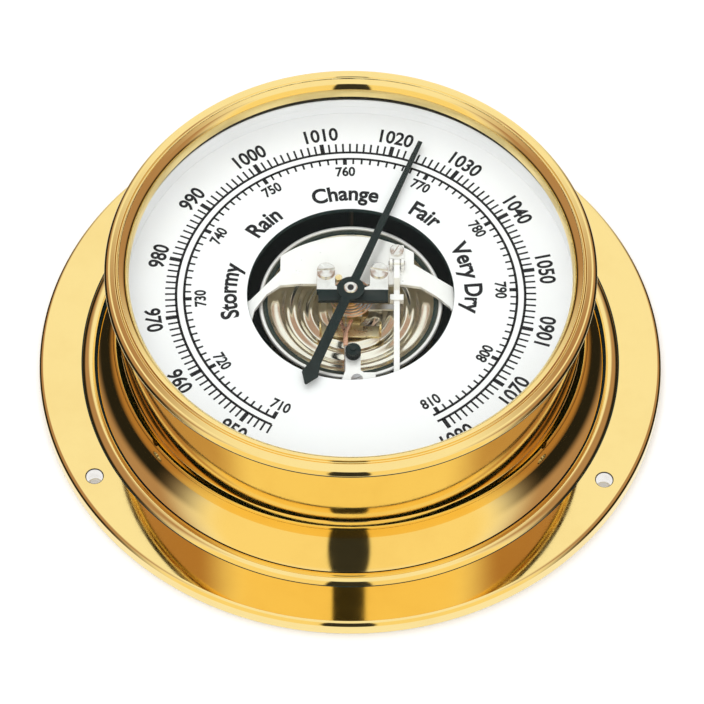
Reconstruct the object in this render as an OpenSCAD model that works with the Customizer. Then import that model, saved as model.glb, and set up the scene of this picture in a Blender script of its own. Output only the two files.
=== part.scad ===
// Open-dial aneroid barometer in a flanged brass case.
// It lies on its back: the wall face is z = 0, +Z points out through the glass, +Y to 12 o'clock.

/* [Mounting flange] */
// Outer radius of the neck
neck_r = 40.4; // [36:0.1:46]
// Wall of the neck
neck_wall = 1.8; // [1.2:0.1:2.4]
// Height of the neck over the flange
neck_h = 9.55; // [8.6:0.05:12]
// Radius of the hollow sweep between flange and neck
sweep_r = 5.1; // [3:0.1:6]
// Width of the flange beyond the neck
flange_w = 14.6; // [12.4:0.1:20]
// Thickness of the flange
flange_t = 3; // [2.4:0.1:4]
// Rounding of the flange's outer rim
rim_round = 1.6; // [0.8:0.1:2]
// Distance of the wall screws from the flange's edge
screw_inset = 3.9; // [3.4:0.1:5]
// Radius of a wall screw hole
screw_hole_r = 1.45; // [1.1:0.05:1.7]
// Radius of the wall screw hole's countersink
screw_sink_r = 2.2; // [1.9:0.05:2.5]
// Number of wall screws
screw_count = 3; // [3:1:6]

/* [Set screws] */
// Height of the set screws over the sweep
setscrew_rise = 1.6; // [1.2:0.1:2.4]
// Angle of the two lower set screws from 12 o'clock
setscrew_angle = 124; // [100:1:140]
// Radius of a set screw
setscrew_r = 0.85; // [0.6:0.05:1.1]
// Depth of the set screws under the neck's face
setscrew_inset = 0.4; // [0.1:0.05:0.8]

/* [Case drum] */
// Wall of the drum under the dial
drum_wall = 1.2; // [0.9:0.1:2]
// Height of the drum's back over the wall
back_z = 0.9; // [0.6:0.1:1.5]
// Thickness of the drum's back
back_t = 1.3; // [1:0.1:1.8]
// Step from the neck's face in to the drum's band
band_step = 0.05; // [0:0.05:0.3]
// How far the band widens from its lower edge to its upper edge
band_flare = 0.9; // [0:0.05:1.2]
// Wall of the band at its upper edge
band_wall = 1.55; // [1.2:0.05:1.8]
// Radius of the vent hole in the drum's back
vent_r = 1.1; // [0.8:0.1:1.5]

/* [Bezel and glass] */
// Width of the bezel's bead beyond the band
bead_over = 0.6; // [0.3:0.05:1]
// Height of the bezel over the drum
bezel_h = 2.35; // [2:0.05:2.8]
// Depth of the bezel's spigot inside the drum
lip_depth = 0.85; // [0.7:0.05:1.1]
// Thickness of the glass
glass_t = 1.5; // [1.2:0.1:1.8]
// Thickness of the gasket under the glass
gasket_t = 0.4; // [0.3:0.05:0.7]
// Height of the ring between dial and gasket
dial_ring_h = 3.95; // [3.5:0.05:4.4]
// Width of the ring between dial and gasket
dial_ring_w = 0.7; // [0.5:0.05:1]

/* [Dial] */
// Height of the dial's seat over the wall
dial_seat_z = 21.45; // [19.4:0.05:24]
// Thickness of the dial
dial_t = 1; // [0.8:0.05:1.2]
// Gap round the capsule in the dial's opening
window_gap = 1.9; // [1.4:0.1:2.4]

/* [Pointer] */
// Gap between the pointer's tip and the ring round the dial
pointer_gap = 5; // [4:0.1:8]
// Clockwise turn of the pointer from 12 o'clock
pointer_turn = 21; // [0:1:40]
// Gap between the pointer and the screws under it
pointer_clear = 0.55; // [0.4:0.05:0.8]
// Thickness of the pointer
pointer_t = 0.35; // [0.25:0.05:0.5]
// Width of the pointer at the arbor
pointer_root_w = 1.6; // [1.3:0.1:2]
// Width of the pointer at its tip
pointer_tip_w = 0.8; // [0.5:0.1:1.2]
// Length of the pointer's tail
tail_l = 21.2; // [17:0.1:24]
// Width of the tail at its end
tail_w = 3; // [2.2:0.1:4]
// Radius of the pointer's hub
hub_r = 2.4; // [2:0.1:3]
// Radius of the brass collars on the hub
hub_collar_r = 1.2; // [0.9:0.05:1.5]

/* [Capsule] */
// Radius of the capsule's side wall
capsule_r = 15.3; // [13.6:0.1:17.2]
// Width of the capsule's rim beyond its side wall
rim_w = 0.7; // [0.4:0.05:1]
// Width of the flat round the diaphragm, inside the rim
rim_flat_w = 0.6; // [0.4:0.05:0.8]
// Offset of the capsule from the arbor, towards 12 o'clock
capsule_y = 0.6; // [0:0.1:1]
// Depth of the capsule from its rim to its bottom
capsule_h = 6.8; // [6:0.1:8]
// Thickness of the capsule's sheet
sheet_t = 0.3; // [0.2:0.02:0.36]
// Depth of the diaphragm at its centre, from the rim's top
dish_depth = 3.1; // [2.7:0.05:3.5]
// Height of one corrugation, from middle to crest
wave_h = 0.36; // [0.2:0.02:0.4]
// Number of corrugations
wave_count = 4; // [3:1:5]
// Radius where the corrugations start
wave_start_r = 3.2; // [2.8:0.1:3.8]
// Radius of the post under the capsule
post_r = 5; // [4:0.1:6]
// Radius of the stud on the diaphragm's centre
stud_r = 1.1; // [0.9:0.05:1.3]
// Radius of the adjusting screw
adjust_r = 1.5; // [1.2:0.1:1.8]
// Radius of the adjusting screw's head
adjust_head_r = 2.4; // [2.1:0.1:2.8]

/* [Movement frame] */
// Thickness of the movement's base plate
base_t = 1.4; // [1:0.1:1.8]
// Thickness of the bridge plate
bridge_t = 0.7; // [0.5:0.05:0.8]
// Height of the bridge plate over the capsule's rim
bridge_gap = 0.8; // [0.7:0.05:0.9]
// Radius of the bridge plate's arch
arch_r = 19.5; // [17.5:0.1:22]
// Radius of a bridge pillar
pillar_r = 1.9; // [1.6:0.1:2.2]
// Gap between the capsule's rim and the pillars
pillar_gap = 1.5; // [1:0.1:2]
// Thickness of the arbor bar
bar_t = 0.8; // [0.6:0.05:0.95]
// Width of the arbor bar
bar_w = 3.2; // [2.6:0.1:3.6]
// Radius of the arbor bar's lugs
lug_r = 1.6; // [1.4:0.05:1.8]
// Radius of the small screws' heads
small_head_r = 1.6; // [1.2:0.05:1.75]
// Height of the small screws' heads
small_head_h = 0.6; // [0.45:0.05:0.7]
// Radius of the small screws' shanks
small_shank_r = 0.8; // [0.6:0.05:0.9]

/* [Arbor and hairspring] */
// Radius of the arbor
arbor_r = 0.45; // [0.4:0.01:0.5]
// Radius of the arbor's lower pivot
pivot_r = 0.3; // [0.2:0.01:0.36]
// Radius of the chain drum on the arbor
drum_r = 0.6; // [0.56:0.01:0.7]
// Radius of the hairspring's first coil
spring_r = 1.45; // [1.3:0.05:1.65]
// Step of the hairspring from coil to coil
spring_step = 0.6; // [0.54:0.01:0.68]
// Turns of the hairspring
spring_turns = 4.3; // [3.3:0.1:4.8]
// Thickness of the hairspring's strip
spring_t = 0.12; // [0.1:0.01:0.14]
// Height of the hairspring's strip
spring_h = 0.4; // [0.3:0.05:0.45]

/* [Levers] */
// Gap between the arbor bar and the main lever
lever_side_gap = 1; // [0.7:0.05:1.4]
// Width of the main lever
lever_w = 1; // [0.8:0.1:1.2]
// Thickness of the main lever
lever_t = 0.7; // [0.6:0.05:0.8]
// Gap between the capsule's rim and the main lever
lever_gap = 0.6; // [0.5:0.05:0.7]
// Distance of the lever's pivot from the arbor, towards 12 o'clock
lever_pivot_y = 7; // [6.6:0.1:7.8]
// Reach of the lever's end beyond the capsule's rim
lever_reach = 1.9; // [1.6:0.1:2.4]
// Radius of the lever's pivot pin
lever_pin_r = 0.4; // [0.3:0.02:0.46]
// Radius of the push rod
rod_r = 0.3; // [0.24:0.02:0.36]
// Radial play of the push rod in the lever
rod_play = 0.12; // [0.1:0.01:0.16]
// Length of the rocker's upright arm
rocker_arm_l = 5.4; // [4.8:0.05:6.1]
// Length of the rocker's crank
rocker_crank_l = 1.64; // [1.4:0.02:1.86]
// Radius of the rocker's shaft
rocker_shaft_r = 0.6; // [0.5:0.05:0.7]
// Radius of the hubs on the rocker's shaft
rocker_hub_r = 1.1; // [0.95:0.05:1.3]

/* [Chain] */
// Width of a chain link
chain_w = 0.36; // [0.3:0.02:0.4]
// Height of a chain link
chain_h = 0.5; // [0.4:0.05:0.56]
// Length of the chain from the arbor to its yoke
chain_l = 4; // [3.6:0.1:4.6]
// Number of links
link_count = 7; // [5:2:9]
// Length of the copper yoke
yoke_l = 5.4; // [4.8:0.1:6]
// Width of the yoke over its fork
fork_w = 2.6; // [2.2:0.1:3]

/* [Fits] */
// Radial clearance of every turning shaft
run_clear = 0.04; // [0.02:0.01:0.08]
// Gap between pieces that slide past each other
slide_gap = 0.25; // [0.2:0.01:0.3]
// Gap between case pieces that slip into each other
fit_gap = 0.1; // [0.05:0.01:0.15]
// Gap between the movement and the dial over it
dial_gap = 0.15; // [0.1:0.01:0.2]

/* [Hidden] */
$fn = 96;

// A cut reaches this far past the face it opens
cut = 0.5;
brass = "goldenrod";
nickel = "gainsboro";
steel = "dimgray";
black = "#1c2024";
copper = "#b56a45";

// Radii of the case, from the flange in to the dial
flange_r = neck_r + flange_w;
neck_top = flange_t + neck_h;
neck_bore_r = neck_r - neck_wall;
spigot_r = neck_bore_r - fit_gap;
drum_bore_r = spigot_r - drum_wall;
band_low_r = neck_r - band_step;
band_top_r = band_low_r + band_flare;
bead_r = band_top_r + bead_over;
dial_room_r = band_top_r - band_wall;
disc_r = dial_room_r - fit_gap;
lip_r = disc_r - dial_ring_w;

// Heights of the case, from the wall out to the bezel
drum_back_top = back_z + back_t;
dial_top = dial_seat_z + dial_t;
ring_top = dial_top + dial_ring_h;
glass_low = ring_top + gasket_t;
glass_top = glass_low + glass_t;
drum_top = glass_top + lip_depth;
bezel_top = drum_top + bezel_h;

// Heights of the movement, from the dial down to the base plate
bridge_top = dial_seat_z - dial_gap - small_head_h;
bridge_low = bridge_top - bridge_t;
capsule_rim_z = bridge_low - bridge_gap;
capsule_low = capsule_rim_z - capsule_h;
base_top = drum_back_top + base_t;
chain_z = bridge_low;

// The capsule's rim is two folded sheets high, and the diaphragm's flat is level with its foot
rim_low = capsule_rim_z - 2 * sheet_t;
capsule_rim_r = capsule_r + rim_w;
window_r = capsule_rim_r + window_gap;
wave_end_r = capsule_r - rim_flat_w;

// The saddle lies over the corrugations, and the bridge plate's tongue over the stud
saddle_t = 0.35;
saddle_gap = 0.24;
saddle_low = capsule_rim_z - dish_depth + wave_h + sheet_t / 2 + saddle_gap;
stud_over = 0.05;
stud_top = saddle_low + saddle_t + stud_over;
tongue_gap = 0.95;
tongue_low = stud_top + tongue_gap;
tongue_top = tongue_low + bridge_t;

// Heights over the bridge plate, from the hairspring up to the pointer
spring_z = bridge_top + slide_gap;
spring_end_r = spring_r + spring_step * spring_turns;
bar_gap = 0.4;
bar_low = spring_z + spring_h + bar_gap;
bar_top = bar_low + bar_t;
pointer_low = bar_top + small_head_h + pointer_clear;
pointer_high = pointer_low + pointer_t;
pointer_l = lip_r - pointer_gap;

// The bar's posts stand outside the hairspring, each at an angle and at an added distance
bar_post_r = 1.3;
bar_post_gap = 0.9;
bar_post_d = spring_end_r + bar_post_gap + bar_post_r;
bar_spots = [for (p = [[133.7, 0], [43.2, 0.5]]) (bar_post_d + p[1]) * [cos(p[0]), sin(p[0])]];

// Lever train, from the pivot to the rocker
lever_x = bar_spots[1][0] + lug_r + lever_side_gap + lever_w / 2;
ear_h = 0.9;
lever_pivot_z = bridge_top + ear_h;
lever_low_z = capsule_rim_z + lever_gap;
lever_end_y = capsule_rim_r - capsule_y + lever_reach;
screw_behind = 2.9;
lever_screw_y = lever_pivot_y + screw_behind;
ear_t = 0.5;
ear_x = lever_w / 2 + slide_gap;
collar_t = 0.3;
collar_y = 0.4;
rocker_y = -(lever_end_y + rocker_crank_l);
rocker_z = chain_z - rocker_arm_l;
crank_t = 0.5;
chain_x = -(drum_r + chain_w / 2 + run_clear);

// Rocker bracket: the places of its two ears, its upright and its screws
bracket_t = 0.8;
bracket_room = 2.4;
ear_left_x = -3;
ear_right_x = lever_x + bracket_room;
bracket_y = rocker_y - bracket_room;
bracket_screw_x = [ear_left_x + bracket_room, ear_right_x - bracket_room];
bracket_screw_y = bracket_y + small_head_r;
bracket_head_r = 1.2;

// The regulator's plate rests on the bracket's ledge, just under the dial
regulator_t = 0.5;
regulator_head_h = 0.35;
regulator_gap = 0.05;
ledge_t = 0.6;
ledge_top = dial_seat_z - regulator_gap - regulator_head_h - regulator_t;
ledge_left_x = 0;
ledge_w = 4.4;
regulator_x = ledge_left_x + 1.2;
regulator_y = rocker_y + 2.04;
regulator_l = 5.1;
nut_at = [regulator_x - 0.7, regulator_y + regulator_l];
nut_stem_r = 0.5;

// Base plate: it reaches past the bracket's corner, with the screws inside its edge
base_margin = 1.2;
base_r = norm([ear_right_x + bracket_t, bracket_y - bracket_t]) + base_margin;
base_screw_inset = 4.5;
base_screw_r = base_r - base_screw_inset;
base_screw_angles = [0, 120, 240];
adjust_bore_r = adjust_r + run_clear;
adjust_cap = 1.8;
adjust_l = capsule_low - base_top - adjust_cap;

// Pillars on both sides of the capsule, at their own heights on the dial
pillar_x = capsule_rim_r + pillar_r + pillar_gap;
pillar_spots = [[-pillar_x, -4.2], [pillar_x, -0.8]];
pillar_thread_l = 3;

// Copies of the children, turned clockwise from 12 o'clock as seen from the front
module at_angles(angles) {
  for (a = angles) rotate([0, 0, -a]) children();
}

// Copies of the children at places on the dial
module at_spots(spots) {
  for (spot = spots) translate([spot[0], spot[1], 0]) children();
}

// A round bar along Z with its foot at z
module post(r, z, h) {
  translate([0, 0, z]) cylinder(r = r, h = h);
}

// A round bar along X, centred on the middle
module bar_x(r, l) {
  translate([-l / 2, 0, 0]) rotate([0, 90, 0]) cylinder(r = r, h = l);
}

// A box centred on x and y with its foot at z
module block(size, at) {
  translate([at[0] - size[0] / 2, at[1] - size[1] / 2, at[2]]) cube(size);
}

// A ring with its foot at z
module ring(outer, inner, z, h) {
  difference() {
    post(outer, z, h);
    post(inner, z - cut, h + 2 * cut);
  }
}

// A cheese-head screw seated on z, with its shank below and its slot turned by slot_turn
module slotted_screw(head_r, head_h, shank_l, z, slot_turn = 0) {
  slot_w = head_r * 0.26;
  difference() {
    union() {
      post(head_r, z, head_h);
      post(small_shank_r, z - shank_l, shank_l);
    }
    rotate([0, 0, slot_turn]) block([3 * head_r, slot_w, head_h], [0, 0, z + head_h / 2]);
  }
}

module mounting_flange() {
  screw_angles = [for (i = [0:screw_count - 1]) i * 360 / screw_count];
  screw_circle_r = flange_r - screw_inset;
  sink_h = screw_sink_r - screw_hole_r;
  edge_x = flange_r - rim_round;
  color(brass) difference() {
    rotate_extrude() difference() {
      union() {
        translate([neck_bore_r, 0]) square([edge_x - neck_bore_r, flange_t]);
        translate([neck_bore_r, 0]) square([neck_wall, neck_top]);
        translate([neck_r - neck_wall / 2, 0]) square([sweep_r + neck_wall / 2, flange_t + sweep_r]);
        translate([edge_x - cut, 0]) square([rim_round + cut, flange_t - rim_round]);
        translate([edge_x, flange_t - rim_round]) circle(r = rim_round);
      }
      translate([neck_r + sweep_r, flange_t + sweep_r]) circle(r = sweep_r);
      translate([0, -flange_t]) square([2 * flange_r, flange_t]);
    }
    at_angles(screw_angles) translate([0, screw_circle_r, 0]) {
      post(screw_hole_r, -cut, flange_t + 2 * cut);
      translate([0, 0, flange_t - sink_h]) cylinder(r1 = screw_hole_r, r2 = screw_sink_r, h = sink_h);
    }
    at_setscrews(neck_bore_r - cut) cylinder(r = setscrew_r, h = neck_wall + 2 * cut);
  }
}

// The set screws point at the arbor, at a distance of r from it
module at_setscrews(r) {
  setscrew_z = flange_t + sweep_r + setscrew_rise;
  at_angles([0, setscrew_angle, -setscrew_angle]) translate([0, r, setscrew_z]) rotate([-90, 0, 0]) children();
}

module case_setscrews() {
  setscrew_l = neck_wall + fit_gap - setscrew_inset;
  slot_w = setscrew_r * 0.4;
  color(steel) at_setscrews(spigot_r) difference() {
    cylinder(r = setscrew_r, h = setscrew_l);
    block([3 * setscrew_r, slot_w, setscrew_l], [0, 0, setscrew_l * 0.7]);
  }
}

module case_drum() {
  groove = 0.25;
  adjust_hole_r = adjust_head_r + slide_gap;
  color(brass) difference() {
    rotate_extrude() polygon([
      [0, back_z], [spigot_r, back_z], [spigot_r, neck_top], [band_low_r - groove, neck_top],
      [band_low_r, neck_top + groove], [band_top_r, drum_top], [dial_room_r, drum_top],
      [dial_room_r, dial_seat_z], [drum_bore_r, dial_seat_z], [drum_bore_r, drum_back_top], [0, drum_back_top]
    ]);
    post(adjust_hole_r, back_z - cut, back_t + 2 * cut);
    at_angles(base_screw_angles) translate([0, base_screw_r, 0]) {
      post(small_shank_r + fit_gap, back_z - cut, back_t + 2 * cut);
      translate([0, 0, back_z]) base_screw_head(fit_gap);
    }
    translate([0, -(base_r + drum_bore_r) / 2, 0]) post(vent_r, back_z - cut, back_t + 2 * cut);
  }
}

// The countersunk head of a base screw, wider all round by room
module base_screw_head(room = 0) {
  cylinder(r1 = small_head_r + room, r2 = small_shank_r + room, h = small_head_r - small_shank_r);
}

module base_screws() {
  slot_w = small_head_r * 0.3;
  color(steel) at_angles(base_screw_angles) translate([0, base_screw_r, back_z]) difference() {
    union() {
      base_screw_head();
      post(small_shank_r, 0, back_t + base_t);
    }
    block([3 * small_head_r, slot_w, 2 * cut], [0, 0, -1.5 * cut]);
  }
}

module bezel_ring() {
  bead_h = bezel_h * 0.62;
  bead_x = bead_r - bead_h / 2;
  bead_z = bezel_top - bead_h / 2;
  groove_r = bead_h * 0.15;
  groove_x = bead_x - bead_h * 0.62;
  color(brass) rotate_extrude() difference() {
    union() {
      polygon([
        [lip_r, glass_top], [disc_r, glass_top], [disc_r, drum_top], [band_top_r, drum_top],
        [bead_x, bead_z], [bead_x, bezel_top], [groove_x, bezel_top - groove_r], [lip_r, drum_top + fit_gap]
      ]);
      translate([bead_x, bead_z]) circle(r = bead_h / 2);
    }
    translate([groove_x, bezel_top - groove_r]) circle(r = groove_r);
  }
}

module glass() {
  color("lightcyan", 0.35) post(disc_r, glass_low, glass_t);
}

module glass_gasket() {
  color(black) ring(disc_r, lip_r, ring_top, gasket_t);
}

module dial_ring() {
  color(brass) ring(disc_r, lip_r, dial_top, dial_ring_h);
}

module dial() {
  color("white") ring(disc_r, window_r, dial_seat_z, dial_t);
}

module movement_base() {
  color(brass) difference() {
    post(base_r, drum_back_top, base_t);
    post(adjust_bore_r, drum_back_top - cut, base_t + 2 * cut);
    at_angles(base_screw_angles) translate([0, base_screw_r, 0])
      post(small_shank_r, drum_back_top - cut, base_t + 2 * cut);
  }
}

module capsule_post() {
  foot_h = 1.2;
  foot_w = 2.5;
  color(brass) difference() {
    union() {
      post(post_r, base_top, capsule_low - base_top);
      post(post_r + foot_w, base_top, foot_h);
    }
    post(adjust_bore_r, base_top - cut, adjust_l + cut);
  }
}

// The adjusting screw turns in the post and shows at the back
module adjusting_screw() {
  slot_w = adjust_head_r * 0.25;
  color(steel) difference() {
    union() {
      post(adjust_head_r, back_z, back_t - slide_gap);
      post(adjust_r, back_z, base_top + adjust_l - slide_gap - back_z);
    }
    block([3 * adjust_head_r, slot_w, 2 * cut], [0, 0, back_z - cut]);
  }
}

module at_capsule() {
  translate([0, capsule_y, 0]) children();
}

// The shell is a dished cup with a foot on the post and a flange under the rim
module capsule_shell() {
  shoulder = 0.8;
  outer = [
    [0, capsule_low], [post_r, capsule_low], [post_r + shoulder, capsule_low + shoulder],
    [capsule_r - shoulder, capsule_low + shoulder], [capsule_r, capsule_low + 2 * shoulder],
    [capsule_r, rim_low - sheet_t], [capsule_rim_r, rim_low - sheet_t], [capsule_rim_r, rim_low]
  ];
  inner = [
    [capsule_r - sheet_t, rim_low], [capsule_r - sheet_t, capsule_low + 2 * shoulder + sheet_t],
    [capsule_r - shoulder - sheet_t, capsule_low + shoulder + sheet_t],
    [post_r + shoulder, capsule_low + shoulder + sheet_t], [post_r, capsule_low + sheet_t],
    [0, capsule_low + sheet_t]
  ];
  color(nickel) at_capsule() rotate_extrude() polygon(concat(outer, inner));
}

// The rim is the bead that clamps shell and diaphragm
module capsule_rim() {
  color(nickel) at_capsule() ring(capsule_rim_r, capsule_r, rim_low, 2 * sheet_t);
}

// Corrugated dish: a cubic bowl with waves that fade out at both ends, and a flat inside the rim
dish_low = capsule_rim_z - dish_depth;
dish_rise = rim_low + sheet_t / 2 - dish_low;
wave_samples = 8 * wave_count;
wave_radii = [for (i = [0:wave_samples]) wave_start_r + i * (wave_end_r - wave_start_r) / wave_samples];
function wave_part(r) = (r - wave_start_r) / (wave_end_r - wave_start_r);
function dish_z(r) = dish_low + dish_rise * pow(max(wave_part(r), 0), 3);
function wave_z(r) = wave_h * sin(360 * wave_count * wave_part(r)) * sin(180 * wave_part(r));

module capsule_diaphragm() {
  dish = [for (r = wave_radii) [r, dish_z(r) + wave_z(r) + sheet_t / 2]];
  upper = concat(dish, [[capsule_r, rim_low + sheet_t]]);
  lower = [for (i = [len(upper) - 1:-1:0]) upper[i] - [0, sheet_t]];
  color(nickel) at_capsule() rotate_extrude() polygon(concat(upper, lower));
}

// The centre of the diaphragm, with the stud that lifts the lever
module capsule_stud() {
  disc_gap = 0.02;
  color(brass) at_capsule() union() {
    post(wave_start_r - disc_gap, dish_low - sheet_t, 2 * sheet_t);
    post(stud_r, dish_low, stud_top - dish_low);
  }
}

// A T-shaped strap on the stud, with an ear bent up at each end of its bar
module capsule_saddle() {
  strap_w = 2.2;
  collar_w = strap_w + stud_r;
  ear_x = 5.2;
  ear_hole_r = 0.45;
  arm_y = -4.4;
  ear_over = 0.1;
  ear_top = capsule_rim_z + ear_over - strap_w / 2;
  collar_top_y = capsule_y + collar_w / 2;
  color(brass) difference() {
    union() {
      block([collar_w, collar_top_y - arm_y, saddle_t], [0, (collar_top_y + arm_y) / 2, saddle_low]);
      block([2 * ear_x, strap_w, saddle_t], [0, arm_y, saddle_low]);
      at_spots([[-ear_x, arm_y], [ear_x, arm_y]]) {
        block([saddle_t, strap_w, ear_top - saddle_low], [0, 0, saddle_low]);
        translate([0, 0, ear_top]) bar_x(strap_w / 2, saddle_t);
      }
    }
    at_capsule() post(stud_r, saddle_low - cut, saddle_t + 2 * cut);
    translate([0, arm_y, ear_top]) bar_x(ear_hole_r, 3 * ear_x);
  }
}

module bridge_pillars() {
  color(brass) at_spots(pillar_spots) difference() {
    post(pillar_r, base_top, bridge_low - base_top);
    post(small_shank_r, bridge_low - pillar_thread_l, pillar_thread_l + cut);
  }
}

// The bridge plate arches over the upper half of the capsule and ends on two pillars
module bridge_plate() {
  wing = pillar_r + 0.4;
  front_y = 3.1;
  left_x = -12.3;
  right_x = 11;
  arch_top_y = lever_screw_y + 3.4;
  tongue_w = 4;
  bend = 0.6;
  left = pillar_spots[0];
  right = pillar_spots[1];
  outline = [
    [left_x, arch_top_y], [left_x, front_y + 2.7], left + [2, 3.8], left + [-wing, 0.6], left + [wing, -0.6],
    left + [2.8, 1.8], left + [4.8, 5], [left_x, front_y - 0.4], [left_x + 3.3, front_y], [right_x - 2, front_y],
    right + [-7.2, 3.4], right + [-4.4, 1.4], right + [-wing, -0.6], right + [wing, 0.6],
    [right_x, front_y + 4.3], [right_x, arch_top_y]
  ];
  hole_spots = concat(pillar_spots, bar_spots, [[lever_x, lever_screw_y]]);
  color(nickel) difference() {
    union() {
      translate([0, 0, bridge_low]) linear_extrude(bridge_t) intersection() {
        polygon(outline);
        union() {
          translate([0, arch_top_y - arch_r]) circle(r = arch_r);
          translate([-2 * pillar_x, -2 * pillar_x]) square([4 * pillar_x, 2 * pillar_x + front_y + bend]);
        }
      }
      at_spots(pillar_spots) post(wing, bridge_low, bridge_t);
      translate([-tongue_w / 2, 0, 0]) rotate([90, 0, 90]) linear_extrude(tongue_w) polygon([
        [front_y + 2 * bend, bridge_top], [front_y, bridge_top], [front_y - bend, tongue_top],
        [-tongue_w / 2, tongue_top], [-tongue_w / 2, tongue_low], [front_y, tongue_low],
        [front_y + bend, bridge_low], [front_y + 2 * bend, bridge_low]
      ]);
    }
    post(pivot_r + run_clear, tongue_low - cut, bridge_t + 2 * cut);
    at_spots(hole_spots) post(small_shank_r, bridge_low - cut, bridge_t + 2 * cut);
  }
}

module bridge_screws() {
  color(steel) at_spots(pillar_spots)
    slotted_screw(small_head_r, small_head_h, bridge_t + pillar_thread_l, bridge_top, slot_turn = 30);
}

module bar_posts() {
  color(brass) at_spots(bar_spots) ring(bar_post_r, small_shank_r, bridge_top, bar_low - bridge_top);
}

// The arbor bar stands on two posts over the bridge plate
module arbor_bar() {
  bar_left_x = -5.6;
  bar_right_x = bar_spots[1][0] + lug_r;
  color(black) difference() {
    union() {
      block([bar_right_x - bar_left_x, bar_w, bar_t], [(bar_left_x + bar_right_x) / 2, 0, bar_low]);
      for (spot = bar_spots) block([2 * lug_r, spot[1], bar_t], [spot[0], spot[1] / 2, bar_low]);
      at_spots(bar_spots) post(lug_r, bar_low, bar_t);
    }
    post(arbor_r + run_clear, bar_low - cut, bar_t + 2 * cut);
    at_spots(bar_spots) post(small_shank_r, bar_low - cut, bar_t + 2 * cut);
  }
}

module bar_screws() {
  color(nickel) at_spots(bar_spots) slotted_screw(small_head_r, small_head_h, bar_top - bridge_low, bar_top);
}

// The arbor carries the drum, the collet, the hub and the pointer
module arbor() {
  arbor_over = 0.5;
  arbor_low = tongue_top + run_clear;
  color(steel) union() {
    post(pivot_r, tongue_low, arbor_low - tongue_low);
    post(arbor_r, arbor_low, pointer_high + arbor_over - arbor_low);
  }
}

module chain_drum() {
  flange_h = 0.25;
  low = chain_z - chain_h / 2 - flange_h - run_clear;
  height = chain_h + 2 * (flange_h + run_clear);
  color(brass) difference() {
    union() {
      post(drum_r, low, height);
      for (z = [low, low + height - flange_h]) post(drum_r + chain_w + run_clear, z, flange_h);
    }
    post(arbor_r, low - cut, height + 2 * cut);
  }
}

module hairspring_collet() {
  collet_over = 0.05;
  collet_r = spring_r - spring_t / 2 - run_clear;
  color(brass) ring(collet_r, arbor_r, spring_z - collet_over, spring_h + 2 * collet_over);
}

// The hairspring is one flat spiral of strip, from the collet out to its stud
steps_per_turn = 24;
spring_steps = round(spring_turns * steps_per_turn);
spring_end_angle = 118;
function spring_angle(i) = spring_end_angle - (spring_steps - i) * 360 / steps_per_turn;
function spring_at(i, side) = let (r = spring_r + i * spring_step / steps_per_turn + side * spring_t / 2)
  [r * cos(spring_angle(i)), r * sin(spring_angle(i))];
spring_gap = min([for (i = [0:spring_steps - steps_per_turn])
  norm(spring_at(i + steps_per_turn, -1) - spring_at(i, 1))]);
echo(hairspring_least_gap = spring_gap);

module hairspring() {
  inner = [for (i = [0:spring_steps]) spring_at(i, -1)];
  outer = [for (i = [spring_steps:-1:0]) spring_at(i, 1)];
  color(copper) translate([0, 0, spring_z]) linear_extrude(spring_h) polygon(concat(inner, outer));
}

// A slit post that grips the hairspring's outer end
module hairspring_stud() {
  stud_post_r = 0.6;
  grip = 0.45;
  stud_over_spring = 0.2;
  stud_d = spring_end_r + grip;
  color(brass) rotate([0, 0, spring_end_angle]) difference() {
    translate([stud_d, 0, 0]) post(stud_post_r, bridge_top, spring_z + spring_h + stud_over_spring - bridge_top);
    translate([spring_end_r - spring_t, -cut, spring_z]) cube([2 * spring_t, 2 * cut, spring_h]);
  }
}

// The pointer's outline: places along the needle, and the width at each
module pointer() {
  line = [
    [pointer_l, pointer_tip_w], [0, pointer_root_w], [-tail_l * 0.78, tail_w * 0.62],
    [-tail_l * 0.9, tail_w], [-tail_l, tail_w * 0.1]
  ];
  right_side = [for (p = line) [p[1] / 2, p[0]]];
  left_side = [for (i = [len(line) - 1:-1:0]) [-line[i][1] / 2, line[i][0]]];
  color(black) rotate([0, 0, -pointer_turn]) difference() {
    union() {
      translate([0, 0, pointer_low]) linear_extrude(pointer_t) polygon(concat(right_side, left_side));
      post(hub_r, pointer_low, pointer_t);
    }
    post(arbor_r, pointer_low - cut, pointer_t + 2 * cut);
  }
}

module pointer_hub() {
  collar_low = bar_top + slide_gap;
  color(brass) union() {
    ring(hub_collar_r, arbor_r, collar_low, pointer_low - collar_low);
    ring(hub_collar_r, arbor_r, pointer_high, pointer_t);
  }
}

// The lever's pivot pin lies across two ears over the bridge plate
module lever_bracket() {
  strap_w = 2 * (ear_x + ear_t);
  strap_front = 0.3;
  strap_l = screw_behind + strap_front + bracket_head_r;
  ear_w = 2;
  color(nickel) difference() {
    union() {
      block([strap_w, strap_l, ear_t], [lever_x, lever_pivot_y - strap_front + strap_l / 2, bridge_top]);
      for (side = [-1, 1]) translate([lever_x + side * (ear_x + ear_t / 2), lever_pivot_y, 0]) {
        block([ear_t, ear_w, ear_h], [0, 0, bridge_top]);
        translate([0, 0, lever_pivot_z]) bar_x(ear_h, ear_t);
      }
    }
    translate([lever_x, lever_pivot_y, lever_pivot_z]) bar_x(lever_pin_r, 2 * strap_w);
    translate([lever_x, lever_screw_y, 0]) post(small_shank_r, bridge_top - cut, ear_t + 2 * cut);
    block([2 * ear_x, 1.2 * ear_w, 2 * ear_h], [lever_x, lever_pivot_y, bridge_top - cut]);
  }
}

module lever_bracket_screw() {
  color(nickel) translate([lever_x, lever_screw_y, 0])
    slotted_screw(bracket_head_r, ear_t, ear_t + bridge_t, bridge_top + ear_t, slot_turn = 60);
}

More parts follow.
